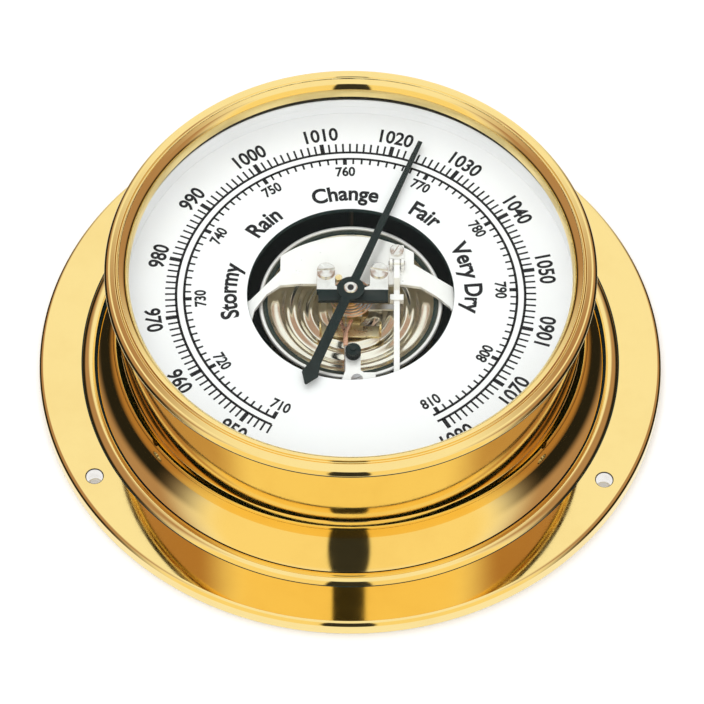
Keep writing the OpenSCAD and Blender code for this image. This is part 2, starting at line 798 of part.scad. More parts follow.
module lever_pin() {
  pin_over = 0.2;
  pin_l = 2 * (ear_x + ear_t + pin_over);
  color(steel) translate([lever_x, lever_pivot_y, lever_pivot_z]) bar_x(lever_pin_r, pin_l);
}

// Seen from the side, the lever runs back from its eye, steps down past the bridge plate and goes on to the rod
module main_lever() {
  eye_r = lever_pin_r + 0.35;
  step_y = 2;
  slope = 1.6;
  end_over = 0.7;
  high = lever_pivot_z - lever_t / 2;
  back_y = lever_pivot_y + eye_r;
  front_y = -lever_end_y - end_over;
  side = [
    [back_y, high + lever_t], [step_y + slope, high + lever_t], [step_y, lever_low_z + lever_t],
    [front_y, lever_low_z + lever_t], [front_y, lever_low_z], [step_y - lever_t / 2, lever_low_z],
    [step_y + slope - lever_t / 2, high], [back_y, high]
  ];
  color(nickel) difference() {
    union() {
      translate([lever_x - lever_w / 2, 0, 0]) rotate([90, 0, 90]) linear_extrude(lever_w) polygon(side);
      translate([lever_x, lever_pivot_y, lever_pivot_z]) bar_x(eye_r, lever_w);
    }
    translate([lever_x, lever_pivot_y, lever_pivot_z]) bar_x(lever_pin_r + run_clear, 2 * lever_w);
    translate([lever_x, -lever_end_y, 0]) post(rod_r + rod_play, lever_low_z - cut, lever_t + 2 * cut);
  }
}

module lever_collar() {
  collar_l = 1.2;
  collar_w = lever_w + 1.4;
  color(nickel) difference() {
    block([collar_w, collar_l, lever_t + 2 * collar_t], [lever_x, collar_y, lever_low_z - collar_t]);
    block([lever_w, 2 * collar_l, lever_t], [lever_x, collar_y, lever_low_z]);
  }
}

// The yoke hangs from the lever's collar and reaches in over the stud
module lever_yoke() {
  arm_t = 0.45;
  arm_w = 1.2;
  drop_t = 0.85;
  yoke_gap = 0.06;
  arm_low = stud_top + yoke_gap;
  color(steel) union() {
    block([drop_t, arm_w, lever_low_z - collar_t - arm_low], [lever_x, collar_y, arm_low]);
    translate([-stud_r, collar_y - arm_w / 2, arm_low]) cube([lever_x + stud_r, arm_w, arm_t]);
  }
}

// The push rod joins the lever's end to the rocker's crank
module push_rod() {
  low = rocker_z + crank_t / 2 + slide_gap;
  color(steel) translate([lever_x, -lever_end_y, 0]) post(rod_r, low, lever_low_z + lever_t - low);
}

// The rocker bracket stands on the base plate behind the shaft, and its ledge carries the regulator
module rocker_bracket() {
  ear_w = 2.4;
  foot_l = 2.6;
  wide = ear_right_x - ear_left_x + 2 * bracket_t;
  tall = rocker_z + ear_w / 2 - base_top;
  back_y = bracket_y - bracket_t;
  ledge_over = 1.76;
  ledge_l = regulator_y + ledge_over - back_y;
  ear_middles = [ear_left_x - bracket_t / 2, ear_right_x + bracket_t / 2];
  color(nickel) difference() {
    union() {
      translate([ear_left_x - bracket_t, back_y, base_top]) cube([wide, bracket_t, tall]);
      translate([ear_left_x - bracket_t, bracket_y, base_top]) cube([wide, foot_l, bracket_t]);
      for (x = ear_middles) {
        translate([x - bracket_t / 2, back_y, rocker_z - ear_w / 2]) cube([bracket_t, rocker_y - back_y, ear_w]);
        translate([x, rocker_y, rocker_z]) bar_x(ear_w / 2, bracket_t);
      }
      translate([ledge_left_x, back_y, rocker_z]) cube([ledge_w, bracket_t, ledge_top - rocker_z]);
      translate([ledge_left_x, back_y, ledge_top - ledge_t]) cube([ledge_w, ledge_l, ledge_t]);
    }
    for (x = ear_middles) translate([x, rocker_y, rocker_z]) bar_x(rocker_shaft_r + run_clear, 2 * bracket_t);
    for (x = bracket_screw_x) translate([x, bracket_screw_y, 0])
      post(small_shank_r, base_top - cut, bracket_t + 2 * cut);
    translate([regulator_x, regulator_y, 0]) post(small_shank_r, ledge_top - ledge_t - cut, ledge_t + 2 * cut);
  }
}

module bracket_screws() {
  color(steel) for (x = bracket_screw_x) translate([x, bracket_screw_y, 0])
    slotted_screw(bracket_head_r, small_head_h, bracket_t, base_top + bracket_t);
}

module rocker_shaft() {
  end_over = 0.3;
  left = ear_left_x - bracket_t - end_over;
  right = ear_right_x + bracket_t + end_over;
  color(steel) translate([(left + right) / 2, rocker_y, rocker_z]) bar_x(rocker_shaft_r, right - left);
}

module rocker_arm() {
  arm_w = 0.8;
  arm_t = 0.5;
  arm_over = 0.35;
  hub_l = 1.4;
  color(steel) translate([chain_x, rocker_y, rocker_z]) difference() {
    union() {
      bar_x(rocker_hub_r, hub_l);
      block([arm_w, arm_t, rocker_arm_l + arm_over], [0, 0, 0]);
    }
    bar_x(rocker_shaft_r, 2 * hub_l);
  }
}

module rocker_crank() {
  crank_w = 1;
  hub_l = 1.2;
  color(steel) translate([lever_x, rocker_y, rocker_z]) difference() {
    union() {
      bar_x(rocker_hub_r, hub_l);
      block([crank_w, rocker_crank_l + crank_t, crank_t], [0, (rocker_crank_l + crank_t) / 2, -crank_t / 2]);
    }
    bar_x(rocker_shaft_r, 2 * hub_l);
  }
}

// The chain runs straight from the drum into the yoke's notch, its links flat and upright in turn
yoke_notch = 1.5;
module chain() {
  link_l = (chain_l + yoke_notch) / link_count;
  link_lap = 0.05;
  color(steel) union() {
    for (i = [0:2:link_count - 1]) translate([chain_x, -(i + 0.5) * link_l, chain_z])
      block([chain_w, link_l, chain_h / 2], [0, 0, -chain_h / 4]);
    for (i = [1:2:link_count - 2]) translate([chain_x, -(i + 0.5) * link_l, chain_z])
      block([chain_w / 2, link_l + 2 * link_lap, chain_h], [0, 0, -chain_h / 2]);
  }
}

// The yoke is a flat Y: the last link lies in its fork, and the rod starts at its stem
module chain_yoke() {
  prong_w = 0.7;
  fork_l = 2.6;
  stem_w = 0.8;
  seat_w = chain_w + run_clear;
  color(copper) translate([chain_x, -chain_l, chain_z - chain_h / 2]) linear_extrude(chain_h) polygon([
    [-fork_w / 2, 0], [prong_w - fork_w / 2, 0], [-seat_w / 2, -yoke_notch], [seat_w / 2, -yoke_notch],
    [fork_w / 2 - prong_w, 0], [fork_w / 2, 0], [stem_w / 2, -fork_l], [stem_w / 2, -yoke_l],
    [-stem_w / 2, -yoke_l], [-stem_w / 2, -fork_l]
  ]);
}

module chain_rod() {
  chain_rod_r = 0.22;
  rod_gap = 0.75;
  start = chain_l + yoke_l;
  color(steel) translate([chain_x, -start, chain_z]) rotate([90, 0, 0])
    cylinder(r = chain_rod_r, h = -rocker_y - rod_gap - start);
}

// The regulator plate stands at 6 o'clock in the window: a T with its nut at the end of the stem
module regulator_plate() {
  foot_w = 6;
  foot_l = 2;
  foot_back = 1.4;
  shoulder = 0.6;
  neck_w = 2.6;
  left = regulator_x - foot_w / 2;
  right = regulator_x + foot_w / 2;
  low_y = regulator_y - foot_back;
  color(nickel) difference() {
    translate([0, 0, ledge_top]) linear_extrude(regulator_t) union() {
      polygon([
        [left, low_y], [right, low_y], [right - shoulder, low_y + foot_l],
        [nut_at[0] + neck_w / 2, low_y + foot_l + 2 * shoulder], [nut_at[0] + neck_w / 2, nut_at[1]],
        [nut_at[0] - neck_w / 2, nut_at[1]], [nut_at[0] - neck_w / 2, low_y + foot_l + 2 * shoulder],
        [left + shoulder, low_y + foot_l]
      ]);
      translate(nut_at) circle(r = neck_w / 2);
    }
    translate([regulator_x, regulator_y, 0]) post(small_shank_r, ledge_top - cut, regulator_t + 2 * cut);
    at_spots([nut_at]) post(nut_stem_r, ledge_top - cut, regulator_t + 2 * cut);
  }
}

module regulator_screw() {
  head_r = 1;
  color(steel) translate([regulator_x, regulator_y, 0])
    slotted_screw(head_r, regulator_head_h, ledge_t + regulator_t, ledge_top + regulator_t, slot_turn = 20);
}

// Two knurled collars on one stem, with a neck between them
module regulator_nut() {
  nut_r = 1.35;
  collar_h = 0.7;
  neck_in = 0.25;
  neck_step = 0.3;
  stem_over = 0.2;
  knurl_count = 18;
  knurl_r = 0.16;
  low = ledge_top + regulator_t;
  height = 2 * collar_h + neck_step;
  color(black) at_spots([nut_at]) difference() {
    union() {
      post(nut_r, low, collar_h);
      post(nut_r - neck_in, low + collar_h, neck_step);
      post(nut_r, low + collar_h + neck_step, collar_h);
      post(nut_stem_r, ledge_top, regulator_t + height + stem_over);
    }
    for (i = [0:knurl_count - 1]) rotate([0, 0, i * 360 / knurl_count])
      translate([nut_r + knurl_r / 2, 0, 0]) post(knurl_r, low - cut, height + 2 * cut);
  }
}

mounting_flange();
case_drum();
case_setscrews();
bezel_ring();
glass();
glass_gasket();
dial_ring();
dial();
movement_base();
base_screws();
capsule_post();
adjusting_screw();
capsule_shell();
capsule_rim();
capsule_diaphragm();
capsule_stud();
capsule_saddle();
bridge_pillars();
bridge_plate();
bridge_screws();
arbor_bar();
bar_posts();
bar_screws();
arbor();
chain_drum();
hairspring_collet();
hairspring();
hairspring_stud();
pointer();
pointer_hub();
lever_bracket();
lever_bracket_screw();
lever_pin();
main_lever();
lever_collar();
lever_yoke();
push_rod();
rocker_bracket();
bracket_screws();
rocker_shaft();
rocker_arm();
rocker_crank();
chain();
chain_yoke();
chain_rod();
regulator_plate();
regulator_screw();
regulator_nut();
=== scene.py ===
"""Looks of an open-dial aneroid barometer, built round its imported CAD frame.

Sizes are in millimetres from the wall face z = 0, with +Z out through the glass and +Y at 12 o'clock.
"""

import logging
import math
from abc import ABC, abstractmethod
from contextlib import contextmanager
from dataclasses import dataclass
from enum import Enum
from typing import Callable, Iterable, Iterator, Sequence, Union

import bmesh
import bpy
import numpy as np
from mathutils import Matrix, Vector


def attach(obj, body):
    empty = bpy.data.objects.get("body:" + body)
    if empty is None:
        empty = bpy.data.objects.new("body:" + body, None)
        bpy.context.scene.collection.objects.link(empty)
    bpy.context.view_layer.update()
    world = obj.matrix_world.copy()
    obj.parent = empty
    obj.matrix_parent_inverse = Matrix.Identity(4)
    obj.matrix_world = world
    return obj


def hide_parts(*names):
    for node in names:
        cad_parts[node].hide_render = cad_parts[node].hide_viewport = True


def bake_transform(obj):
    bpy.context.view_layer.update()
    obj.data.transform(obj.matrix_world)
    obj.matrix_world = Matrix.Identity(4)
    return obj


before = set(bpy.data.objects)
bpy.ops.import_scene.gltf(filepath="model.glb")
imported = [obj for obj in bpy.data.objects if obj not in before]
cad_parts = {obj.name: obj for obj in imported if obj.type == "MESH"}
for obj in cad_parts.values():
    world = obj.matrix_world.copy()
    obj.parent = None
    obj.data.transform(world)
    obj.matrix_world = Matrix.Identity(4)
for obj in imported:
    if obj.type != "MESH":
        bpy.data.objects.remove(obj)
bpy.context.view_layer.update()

LOG = logging.getLogger("barometer")
MM = 0.001

Point2 = tuple[float, float]
Point3 = tuple[float, float, float]
Corner = tuple[float, float, float]
Colour = tuple[float, float, float]
Object = bpy.types.Object
Mesh = bpy.types.Mesh
Material = bpy.types.Material
Socket = bpy.types.NodeSocket
Value = Union[float, int, tuple, Socket, bpy.types.ID]
Inputs = dict[Union[str, int], Value]

WHITE: Colour = (1.0, 1.0, 1.0)
SHARP = 32.0  # Angle in degrees past which an edge counts as sharp
TOUCH = 0.02  # How far in mm a face's centre may lie off the surface it is looked for on


class Body(Enum):
    """The CAD bodies that pieces ride on."""

    CASE = "case"
    POINTER = "pointer_group"
    ADJUSTER = "adjuster"
    CAPSULE_CENTRE = "capsule_centre"
    LEVERS = "lever_group"
    PUSH_ROD = "push_rod"
    ROCKER = "rocker"
    CHAIN = "chain_group"


class Slot(Enum):
    """The record's material slots."""

    BRASS = "polished_brass"
    GLASS = "clear_glass"
    RUBBER = "black_rubber"
    DIAL = "white_dial"
    MOVEMENT = "movement_brass"
    NICKEL = "nickel_plate"
    STEEL = "steel"
    BLACK = "black_steel"
    COPPER = "copper_strip"


class Grain(Enum):
    """The marks that a tool leaves on metal."""

    POLISHED = "polished"
    TURNED = "turned"
    BRUSHED = "brushed"
    BLASTED = "blasted"


class Facing(Enum):
    """Which way the tops of the letters point on the dial."""

    OUTWARD = 1.0
    INWARD = -1.0


# Node trees


class Graph:
    """A node tree with short calls that add its nodes and link them."""

    def __init__(self, tree: bpy.types.NodeTree) -> None:
        """Keep the tree that the nodes go into."""
        self.tree = tree

    def add(self, kind: str, inputs: Inputs | None = None, **settings: object) -> bpy.types.Node:
        """Add a node.

        Args:
            kind: Blender's name for the node's type.
            inputs: Value or socket for each input, by its name or number.
            settings: Properties of the node itself.

        Returns:
            The new node.
        """
        node = self.tree.nodes.new(kind)
        for key, value in settings.items():
            setattr(node, key, value)
        for key, value in (inputs or {}).items():
            if isinstance(value, Socket):
                self.tree.links.new(value, node.inputs[key])
            else:
                node.inputs[key].default_value = value
        return node

    def out(self, kind: str, inputs: Inputs | None = None, **settings: object) -> Socket:
        """Add a node and return its first output."""
        return self.add(kind, inputs, **settings).outputs[0]

    def math(self, operation: str, *values: Value) -> Socket:
        """Return the result of a Math node on the values."""
        return self.out("ShaderNodeMath", dict(enumerate(values)), operation=operation)

    def vector(self, x: Value = 0.0, y: Value = 0.0, z: Value = 0.0) -> Socket:
        """Return a vector made of three numbers."""
        return self.out("ShaderNodeCombineXYZ", {0: x, 1: y, 2: z})

    def past(self, value: Value, edge: float, blur: float) -> Socket:
        """Return a smooth step up at an edge, a blur wide to each side, or down where the blur is below 0."""
        inputs = {"Value": value, 1: edge - blur, 2: edge + blur}
        return self.out("ShaderNodeMapRange", inputs, interpolation_type="SMOOTHSTEP")

    def mix(self, share: Value, first: Value, second: Value) -> Socket:
        """Return two colours mixed, the second by its share."""
        first, second = (v if isinstance(v, Socket) else (*v, 1.0) for v in (first, second))
        return self.add("ShaderNodeMix", {0: share, 6: first, 7: second}, data_type="RGBA").outputs[2]


class Shading(Graph):
    """The node tree of a material, on the piece's own coordinates."""

    def __init__(self, name: str) -> None:
        """Start a material with an empty node tree."""
        self.material = bpy.data.materials.new(name)
        self.material.use_nodes = True
        super().__init__(self.material.node_tree)
        self.tree.nodes.clear()
        self.place = self.add("ShaderNodeTexCoord").outputs["Object"]

    def noise(
        self, size: float, detail: float = 3.0, stretch: Point3 = (1.0, 1.0, 1.0), turn: float = 0.0
    ) -> Socket:
        """Return noise on the piece.

        Args:
            size: Size of its largest features in mm.
            detail: Number of finer layers.
            stretch: Factor on the frequency along each axis.
            turn: Turn of the stretched pattern about Z in degrees.

        Returns:
            The noise value, 0 to 1.
        """
        where = self.place
        if turn:
            inputs = {"Vector": where, "Rotation": (0.0, 0.0, math.radians(turn))}
            where = self.out("ShaderNodeMapping", inputs)
        if stretch != (1.0, 1.0, 1.0):
            where = self.out("ShaderNodeMapping", {"Vector": where, "Scale": stretch})
        inputs = {"Vector": where, "Scale": 1 / (size * MM), "Detail": detail, "Roughness": 0.6}
        return self.out("ShaderNodeTexNoise", inputs)

    def rings(self, pitch: float, wander: float = 0.0) -> Socket:
        """Return rings round the object's axis, a pitch in mm apart."""
        scale = 2 * math.pi / (20 * pitch * MM)
        inputs = {"Vector": self.place, "Scale": scale, "Distortion": wander, "Detail": 1.0}
        return self.add("ShaderNodeTexWave", inputs, wave_type="RINGS", rings_direction="Z").outputs["Fac"]

    def between(
        self, value: Value, low: float, high: float, from_low: float = 0.0, from_high: float = 1.0
    ) -> Socket:
        """Return value moved from one range to another, and held inside it."""
        inputs = {"Value": value, 1: from_low, 2: from_high, 3: low, 4: high}
        return self.out("ShaderNodeMapRange", inputs)

    def geometry(self, name: str) -> Socket:
        """Return what the Geometry node says of the spot under that name."""
        return self.add("ShaderNodeNewGeometry").outputs[name]

    def edges(self) -> Socket:
        """Return 1 on outer edges and 0 elsewhere."""
        return self.between(self.geometry("Pointiness"), 0.0, 1.0, 0.53, 0.64)

    def hollows(self) -> Socket:
        """Return 1 in inner corners and 0 elsewhere."""
        return self.between(self.geometry("Pointiness"), 1.0, 0.0, 0.38, 0.48)

    def rubbed(self, reach: float) -> Socket:
        """Return 1 within a reach in mm of a sharp edge, measured by rays, and 0 elsewhere."""
        soft = self.out("ShaderNodeBevel", {"Radius": reach * MM}, samples=3)
        inputs = {0: soft, 1: self.geometry("Normal")}
        match = self.add("ShaderNodeVectorMath", inputs, operation="DOT_PRODUCT").outputs["Value"]
        return self.between(match, 1.0, 0.0, 0.90, 0.985)

    def bump(self, height: Value, depth: float, strength: float = 1.0, under: Value | None = None) -> Socket:
        """Return the normal over a height of 0 to 1 that stands for a depth in mm."""
        inputs = {"Height": height, "Distance": depth * MM, "Strength": strength}
        if under is not None:
            inputs["Normal"] = under
        return self.out("ShaderNodeBump", inputs)

    def mixed(self, share: Value, first: Socket, second: Socket) -> Socket:
        """Return two shaders mixed, the second by its share."""
        return self.out("ShaderNodeMixShader", {0: share, 1: first, 2: second})

    def closed(self, shader: Socket) -> Material:
        """Close the tree with a shader and return the material."""
        self.add("ShaderNodeOutputMaterial", {"Surface": shader})
        return self.material

    def surface(self, **inputs: Value) -> Material:
        """Close the tree with a Principled shader; underscores in the names stand for spaces."""
        named = {key.replace("_", " "): value for key, value in inputs.items()}
        return self.closed(self.out("ShaderNodeBsdfPrincipled", named))


class Growth(Graph):
    """A Geometry Nodes tree whose named inputs are its sizes."""

    KINDS = {
        float: "NodeSocketFloat", int: "NodeSocketInt",
        Material: "NodeSocketMaterial", Object: "NodeSocketObject",
    }

    def __init__(self, name: str) -> None:
        """Start an empty tree with a mesh going in and a mesh coming out."""
        tree = bpy.data.node_groups.new(name, "GeometryNodeTree")
        super().__init__(tree)
        for way in ("INPUT", "OUTPUT"):
            tree.interface.new_socket("Geometry", in_out=way, socket_type="NodeSocketGeometry")
        self.entry = self.add("NodeGroupInput").outputs
        self.values: dict[str, Value] = {}

    @property
    def mesh(self) -> Socket:
        """The mesh that goes in."""
        return self.entry[0]

    def size(self, name: str, value: Value) -> Socket:
        """Add a named input with its value, lengths in metres, and return its socket."""
        item = self.tree.interface.new_socket(name, in_out="INPUT", socket_type=self.KINDS[type(value)])
        self.values[item.identifier] = value
        return self.entry[name]

    def lengths(self, sizes: dict[str, float]) -> list[Socket]:
        """Add named inputs for lengths given in mm, and return their sockets."""
        return [self.size(name, length * MM) for name, length in sizes.items()]

    def turned(self, x: Value = 0.0, y: Value = 0.0, z: Value = 0.0) -> Socket:
        """Return a rotation from three angles in radians."""
        return self.out("FunctionNodeEulerToRotation", {0: self.vector(x, y, z)})

    def row(self, count: Value, place: Socket) -> Socket:
        """Return a number of points, each at its place."""
        line = self.out("GeometryNodeMeshLine", {"Count": count})
        return self.out("GeometryNodeSetPosition", {"Geometry": line, "Position": place})

    def shape(self, name: str, shape: Object) -> Socket:
        """Return the mesh of an object that is a named input."""
        return self.add("GeometryNodeObjectInfo", {"Object": self.size(name, shape)}).outputs["Geometry"]

    def copies(self, points: Socket, shape: Socket, turn: Socket, size: Value = (1.0, 1.0, 1.0)) -> Socket:
        """Return copies of a shape on points, each with its turn and its size."""
        inputs = {"Points": points, "Instance": shape, "Rotation": turn, "Scale": size}
        return self.out("GeometryNodeInstanceOnPoints", inputs)

    def strip(self, curve: Socket, width: Value, height: Value) -> Socket:
        """Return a strip of a width and an upright height along a flat curve."""
        upright = self.out("GeometryNodeSetCurveNormal", {"Curve": curve}, mode="Z_UP")
        outline = self.out("GeometryNodeCurvePrimitiveQuadrilateral", {"Width": width, "Height": height})
        inputs = {"Curve": upright, "Profile Curve": outline, "Fill Caps": True}
        return self.out("GeometryNodeCurveToMesh", inputs)

    def bake(self, name: str, grown: Socket, material: Material, host: Mesh | None = None) -> Object:
        """Close the tree, run it once and keep the result as a plain mesh.

        Args:
            name: Name of the piece.
            grown: The geometry that the tree ends in.
            material: Material of the whole piece.
            host: Mesh that goes into the tree, or nothing.

        Returns:
            The piece, without a modifier.
        """
        finish = self.size("Finish", material)
        real = self.out("GeometryNodeRealizeInstances", {"Geometry": grown})
        painted = self.out("GeometryNodeSetMaterial", {"Geometry": real, "Material": finish})
        self.add("NodeGroupOutput", {0: painted})
        piece = new_object(name + "_host", host or bpy.data.meshes.new(name))
        modifier = piece.modifiers.new("growth", "NODES")
        modifier.node_group = self.tree
        for identifier, value in self.values.items():
            modifier[identifier] = value
        return baked(piece, name)


# Meshes


def new_object(name: str, data: bpy.types.ID) -> Object:
    """Return a new object of a mesh or other data, linked to the scene."""
    obj = bpy.data.objects.new(name, data)
    bpy.context.scene.collection.objects.link(obj)
    return obj


@contextmanager
def edited(mesh: Mesh) -> Iterator[bmesh.types.BMesh]:
    """Open a mesh for an edit and write the edit back."""
    work = bmesh.new()
    work.from_mesh(mesh)
    yield work
    work.to_mesh(mesh)
    work.free()


def baked(source: Object, name: str) -> Object:
    """Replace an object by a plain mesh, under a new name, of what its modifiers make of it."""
    bpy.context.view_layer.update()
    depsgraph = bpy.context.evaluated_depsgraph_get()
    made = source.evaluated_get(depsgraph)
    mesh = bpy.data.meshes.new_from_object(made, preserve_all_data_layers=True, depsgraph=depsgraph)
    bpy.data.objects.remove(source)
    mesh.name = name
    return new_object(name, mesh)


def solid(
    name: str, points: Iterable[Sequence[float]], faces: Iterable[Sequence[int]], sharp: float = SHARP
) -> Object:
    """Build a closed mesh with its doubles merged and its faces turned outwards.

    Args:
        name: Name of the piece.
        points: Vertices in mm.
        faces: Vertex numbers of each face.
        sharp: Angle in degrees past which an edge is shaded sharp.

    Returns:
        The new object.
    """
    mesh = bpy.data.meshes.new(name)
    mesh.from_pydata([tuple(float(c) * MM for c in p) for p in points], [], list(faces))
    with edited(mesh) as work:
        bmesh.ops.remove_doubles(work, verts=work.verts, dist=1e-7)
        bmesh.ops.recalc_face_normals(work, faces=work.faces)
    smooth(mesh, sharp)
    return new_object(name, mesh)


def smooth(mesh: Mesh, sharp: float) -> None:
    """Shade the mesh smooth except at edges past an angle in degrees."""
    mesh.shade_smooth()
    mesh.set_sharp_from_angle(angle=math.radians(sharp))


def arc(centre: Point2, radius: float, start: float, end: float, steps: int) -> list[Corner]:
    """Return points of an arc in a profile, from start to end in degrees."""
    angles = np.radians(np.linspace(start, end, steps + 1))
    return [(centre[0] + radius * math.cos(a), centre[1] + radius * math.sin(a), 0.0) for a in angles]


def profile(corners: Sequence[Corner], support: float = 0.07) -> list[Point2]:
    """Turn corners into a closed profile with rounded corners.

    Args:
        corners: Radius, height and rounding of each corner in mm.
        support: Distance in mm of the extra points that keep flats flat.

    Returns:
        Points round the profile.
    """
    rounded: list[Vector] = []
    for i, (x, z, rounding) in enumerate(corners):
        here = Vector((x, z))
        if rounding <= 0:
            rounded.append(here)
            continue
        before = (Vector(corners[i - 1][:2]) - here).normalized()
        after = (Vector(corners[(i + 1) % len(corners)][:2]) - here).normalized()
        half = before.angle(after) / 2
        back = rounding / math.tan(half)
        start, end = here + before * back, here + after * back
        middle = here + (before + after).normalized() * (rounding / math.sin(half))
        steps = max(2, round(math.degrees(math.pi - 2 * half) / 15))
        first, last = start - middle, end - middle
        sweep = first.angle_signed(last)
        for k in range(steps + 1):
            spoke = first.copy()
            spoke.rotate(Matrix.Rotation(-sweep * k / steps, 2))
            rounded.append(middle + spoke)
    points: list[Point2] = []
    for here, there in zip(rounded, rounded[1:] + rounded[:1]):
        points.append(tuple(here))
        length = (there - here).length
        if length > 6 * support:
            points += [tuple(here.lerp(there, share)) for share in (support / length, 1 - support / length)]
    return points


def lathe(
    name: str, points: Sequence[Point2], centre: Point2 = (0.0, 0.0),
    segments: int = 288, sharp: float = SHARP,
) -> Object:
    """Turn a closed profile round an upright axis.

    Args:
        name: Name of the piece.
        points: Radius and height of each point of the profile in mm.
        centre: Place of the axis.
        segments: Number of faces round the axis.
        sharp: Angle in degrees past which an edge is shaded sharp.

    Returns:
        The turned piece.
    """
    rows = np.array(points, float)
    turns = np.linspace(0, 2 * math.pi, segments, endpoint=False)[:, None]
    x, y = rows[:, 0] * np.cos(turns) + centre[0], rows[:, 0] * np.sin(turns) + centre[1]
    z = np.broadcast_to(rows[:, 1], x.shape)
    count = len(rows)
    faces = [
        (a * count + i, b * count + i, b * count + j, a * count + j)
        for a, b in ((k, (k + 1) % segments) for k in range(segments))
        for i, j in ((k, (k + 1) % count) for k in range(count))
    ]
    return solid(name, np.stack([x, y, z], -1).reshape(-1, 3), faces, sharp)


def rod(name: str, radius: float, low: float, high: float, segments: int = 40) -> Object:
    """Return a plain round cutter along Z."""
    return lathe(name, [(0, low), (radius, low), (radius, high), (0, high)], segments=segments)


def section(inner: float, outer: float, low: float, high: float, *rounds: float) -> list[Corner]:
    """Return a square section's corners and their roundings, from the lower inner one outwards."""
    spots = ((inner, low), (outer, low), (outer, high), (inner, high))
    return [(*spot, rounding) for spot, rounding in zip(spots, rounds)]


def polar(radius: float, angle: float) -> Point2:
    """Return the place at a radius and an angle in degrees, clockwise from 12 o'clock."""
    return radius * math.sin(math.radians(angle)), radius * math.cos(math.radians(angle))


def turned_about(angle: float) -> Matrix:
    """Return the turn that brings 12 o'clock to an angle in degrees, clockwise from the front."""
    return Matrix.Rotation(-math.radians(angle), 4, "Z")


def moved(obj: Object, matrix: Matrix) -> Object:
    """Apply a matrix to an object's mesh and return the object."""
    obj.data.transform(matrix)
    return obj


def joined(name: str, parts: Sequence[Object]) -> Object:
    """Join objects at the origin into one mesh and remove them."""
    work = bmesh.new()
    for part in parts:
        work.from_mesh(part.data)
        bpy.data.objects.remove(part)
    mesh = bpy.data.meshes.new(name)
    work.to_mesh(mesh)
    work.free()
    return new_object(name, mesh)


def carved(obj: Object, cutters: Sequence[Object]) -> Object:
    """Cut closed shapes out of an object; the cut piece takes its name, and all of them are removed."""
    name = obj.name
    obj.name = name + "_blank"
    tool = joined(name + "_tool", cutters)
    cut = obj.modifiers.new("cut", "BOOLEAN")
    cut.operation, cut.solver, cut.object = "DIFFERENCE", "EXACT", tool
    piece = baked(obj, name)
    bpy.data.objects.remove(tool)
    smooth(piece.data, SHARP)
    return piece


def softened(node: str, edge: float) -> Object:
    """Return a copy of a CAD node with its flats dissolved and its edges rounded to a width in mm."""
    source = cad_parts[node].data
    mesh = bpy.data.meshes.new(node)
    mesh.from_pydata([tuple(v.co) for v in source.vertices], [], [tuple(p.vertices) for p in source.polygons])
    with edited(mesh) as work:
        bmesh.ops.remove_doubles(work, verts=work.verts, dist=1e-6)
        bmesh.ops.dissolve_limit(work, angle_limit=math.radians(1), verts=work.verts, edges=work.edges)
    mesh.shade_smooth()
    blank = new_object(node + "_blank", mesh)
    bevel = blank.modifiers.new("edges", "BEVEL")
    bevel.width, bevel.segments = edge * MM, 2
    bevel.limit_method, bevel.angle_limit = "ANGLE", math.radians(SHARP)
    blank.modifiers.new("flats", "WEIGHTED_NORMAL").keep_sharp = True
    return baked(blank, node + "_finished")


def parted(obj: Object, normal: Point3, distance: float) -> Object:
    """Cut a mesh's faces along a plane, so that each side can take its own finish."""
    centre = [n * distance * MM for n in normal]
    with edited(obj.data) as work:
        everything = [*work.verts, *work.edges, *work.faces]
        bmesh.ops.bisect_plane(work, geom=everything, plane_co=centre, plane_no=normal)
    return obj


def repeated(
    name: str, shape: Object, spots: Sequence[Point3], turns: Sequence[Point3], material: Material
) -> Object:
    """Set copies of a shape at places, by Geometry Nodes.

    Args:
        name: Name of the piece.
        shape: The shape to repeat, about the origin; it is removed.
        spots: Place of each copy in mm.
        turns: Turn of each copy about X, Y and Z in degrees.
        material: Material of the copies.

    Returns:
        One piece with every copy in it.
    """
    host = bpy.data.meshes.new(name)
    host.from_pydata([tuple(c * MM for c in spot) for spot in spots], [], [])
    turn = host.attributes.new("turn", "FLOAT_VECTOR", "POINT")
    turn.data.foreach_set("vector", [math.radians(c) for angles in turns for c in angles])
    tree = Growth(name)
    source = tree.shape("Template", shape)
    stored = tree.out("GeometryNodeInputNamedAttribute", {"Name": "turn"}, data_type="FLOAT_VECTOR")
    rotation = tree.out("FunctionNodeEulerToRotation", {0: stored})
    piece = tree.bake(name, tree.copies(tree.mesh, source, rotation), material, host)
    bpy.data.objects.remove(shape)
    return piece


# Finishes


@dataclass(frozen=True)
class Finish(ABC):
    """A finish that pieces are dressed in.

    Attributes:
        name: Name of the material.
        slot: The record's material slot; not used.
    """

    name: str
    slot: Slot

    def build(self) -> Material:
        """Return the material, made at its first use."""
        return bpy.data.materials.get(self.name) or self.made(Shading(self.name))

    @abstractmethod
    def made(self, shade: Shading) -> Material:
        """Return the material, made on an empty node tree."""


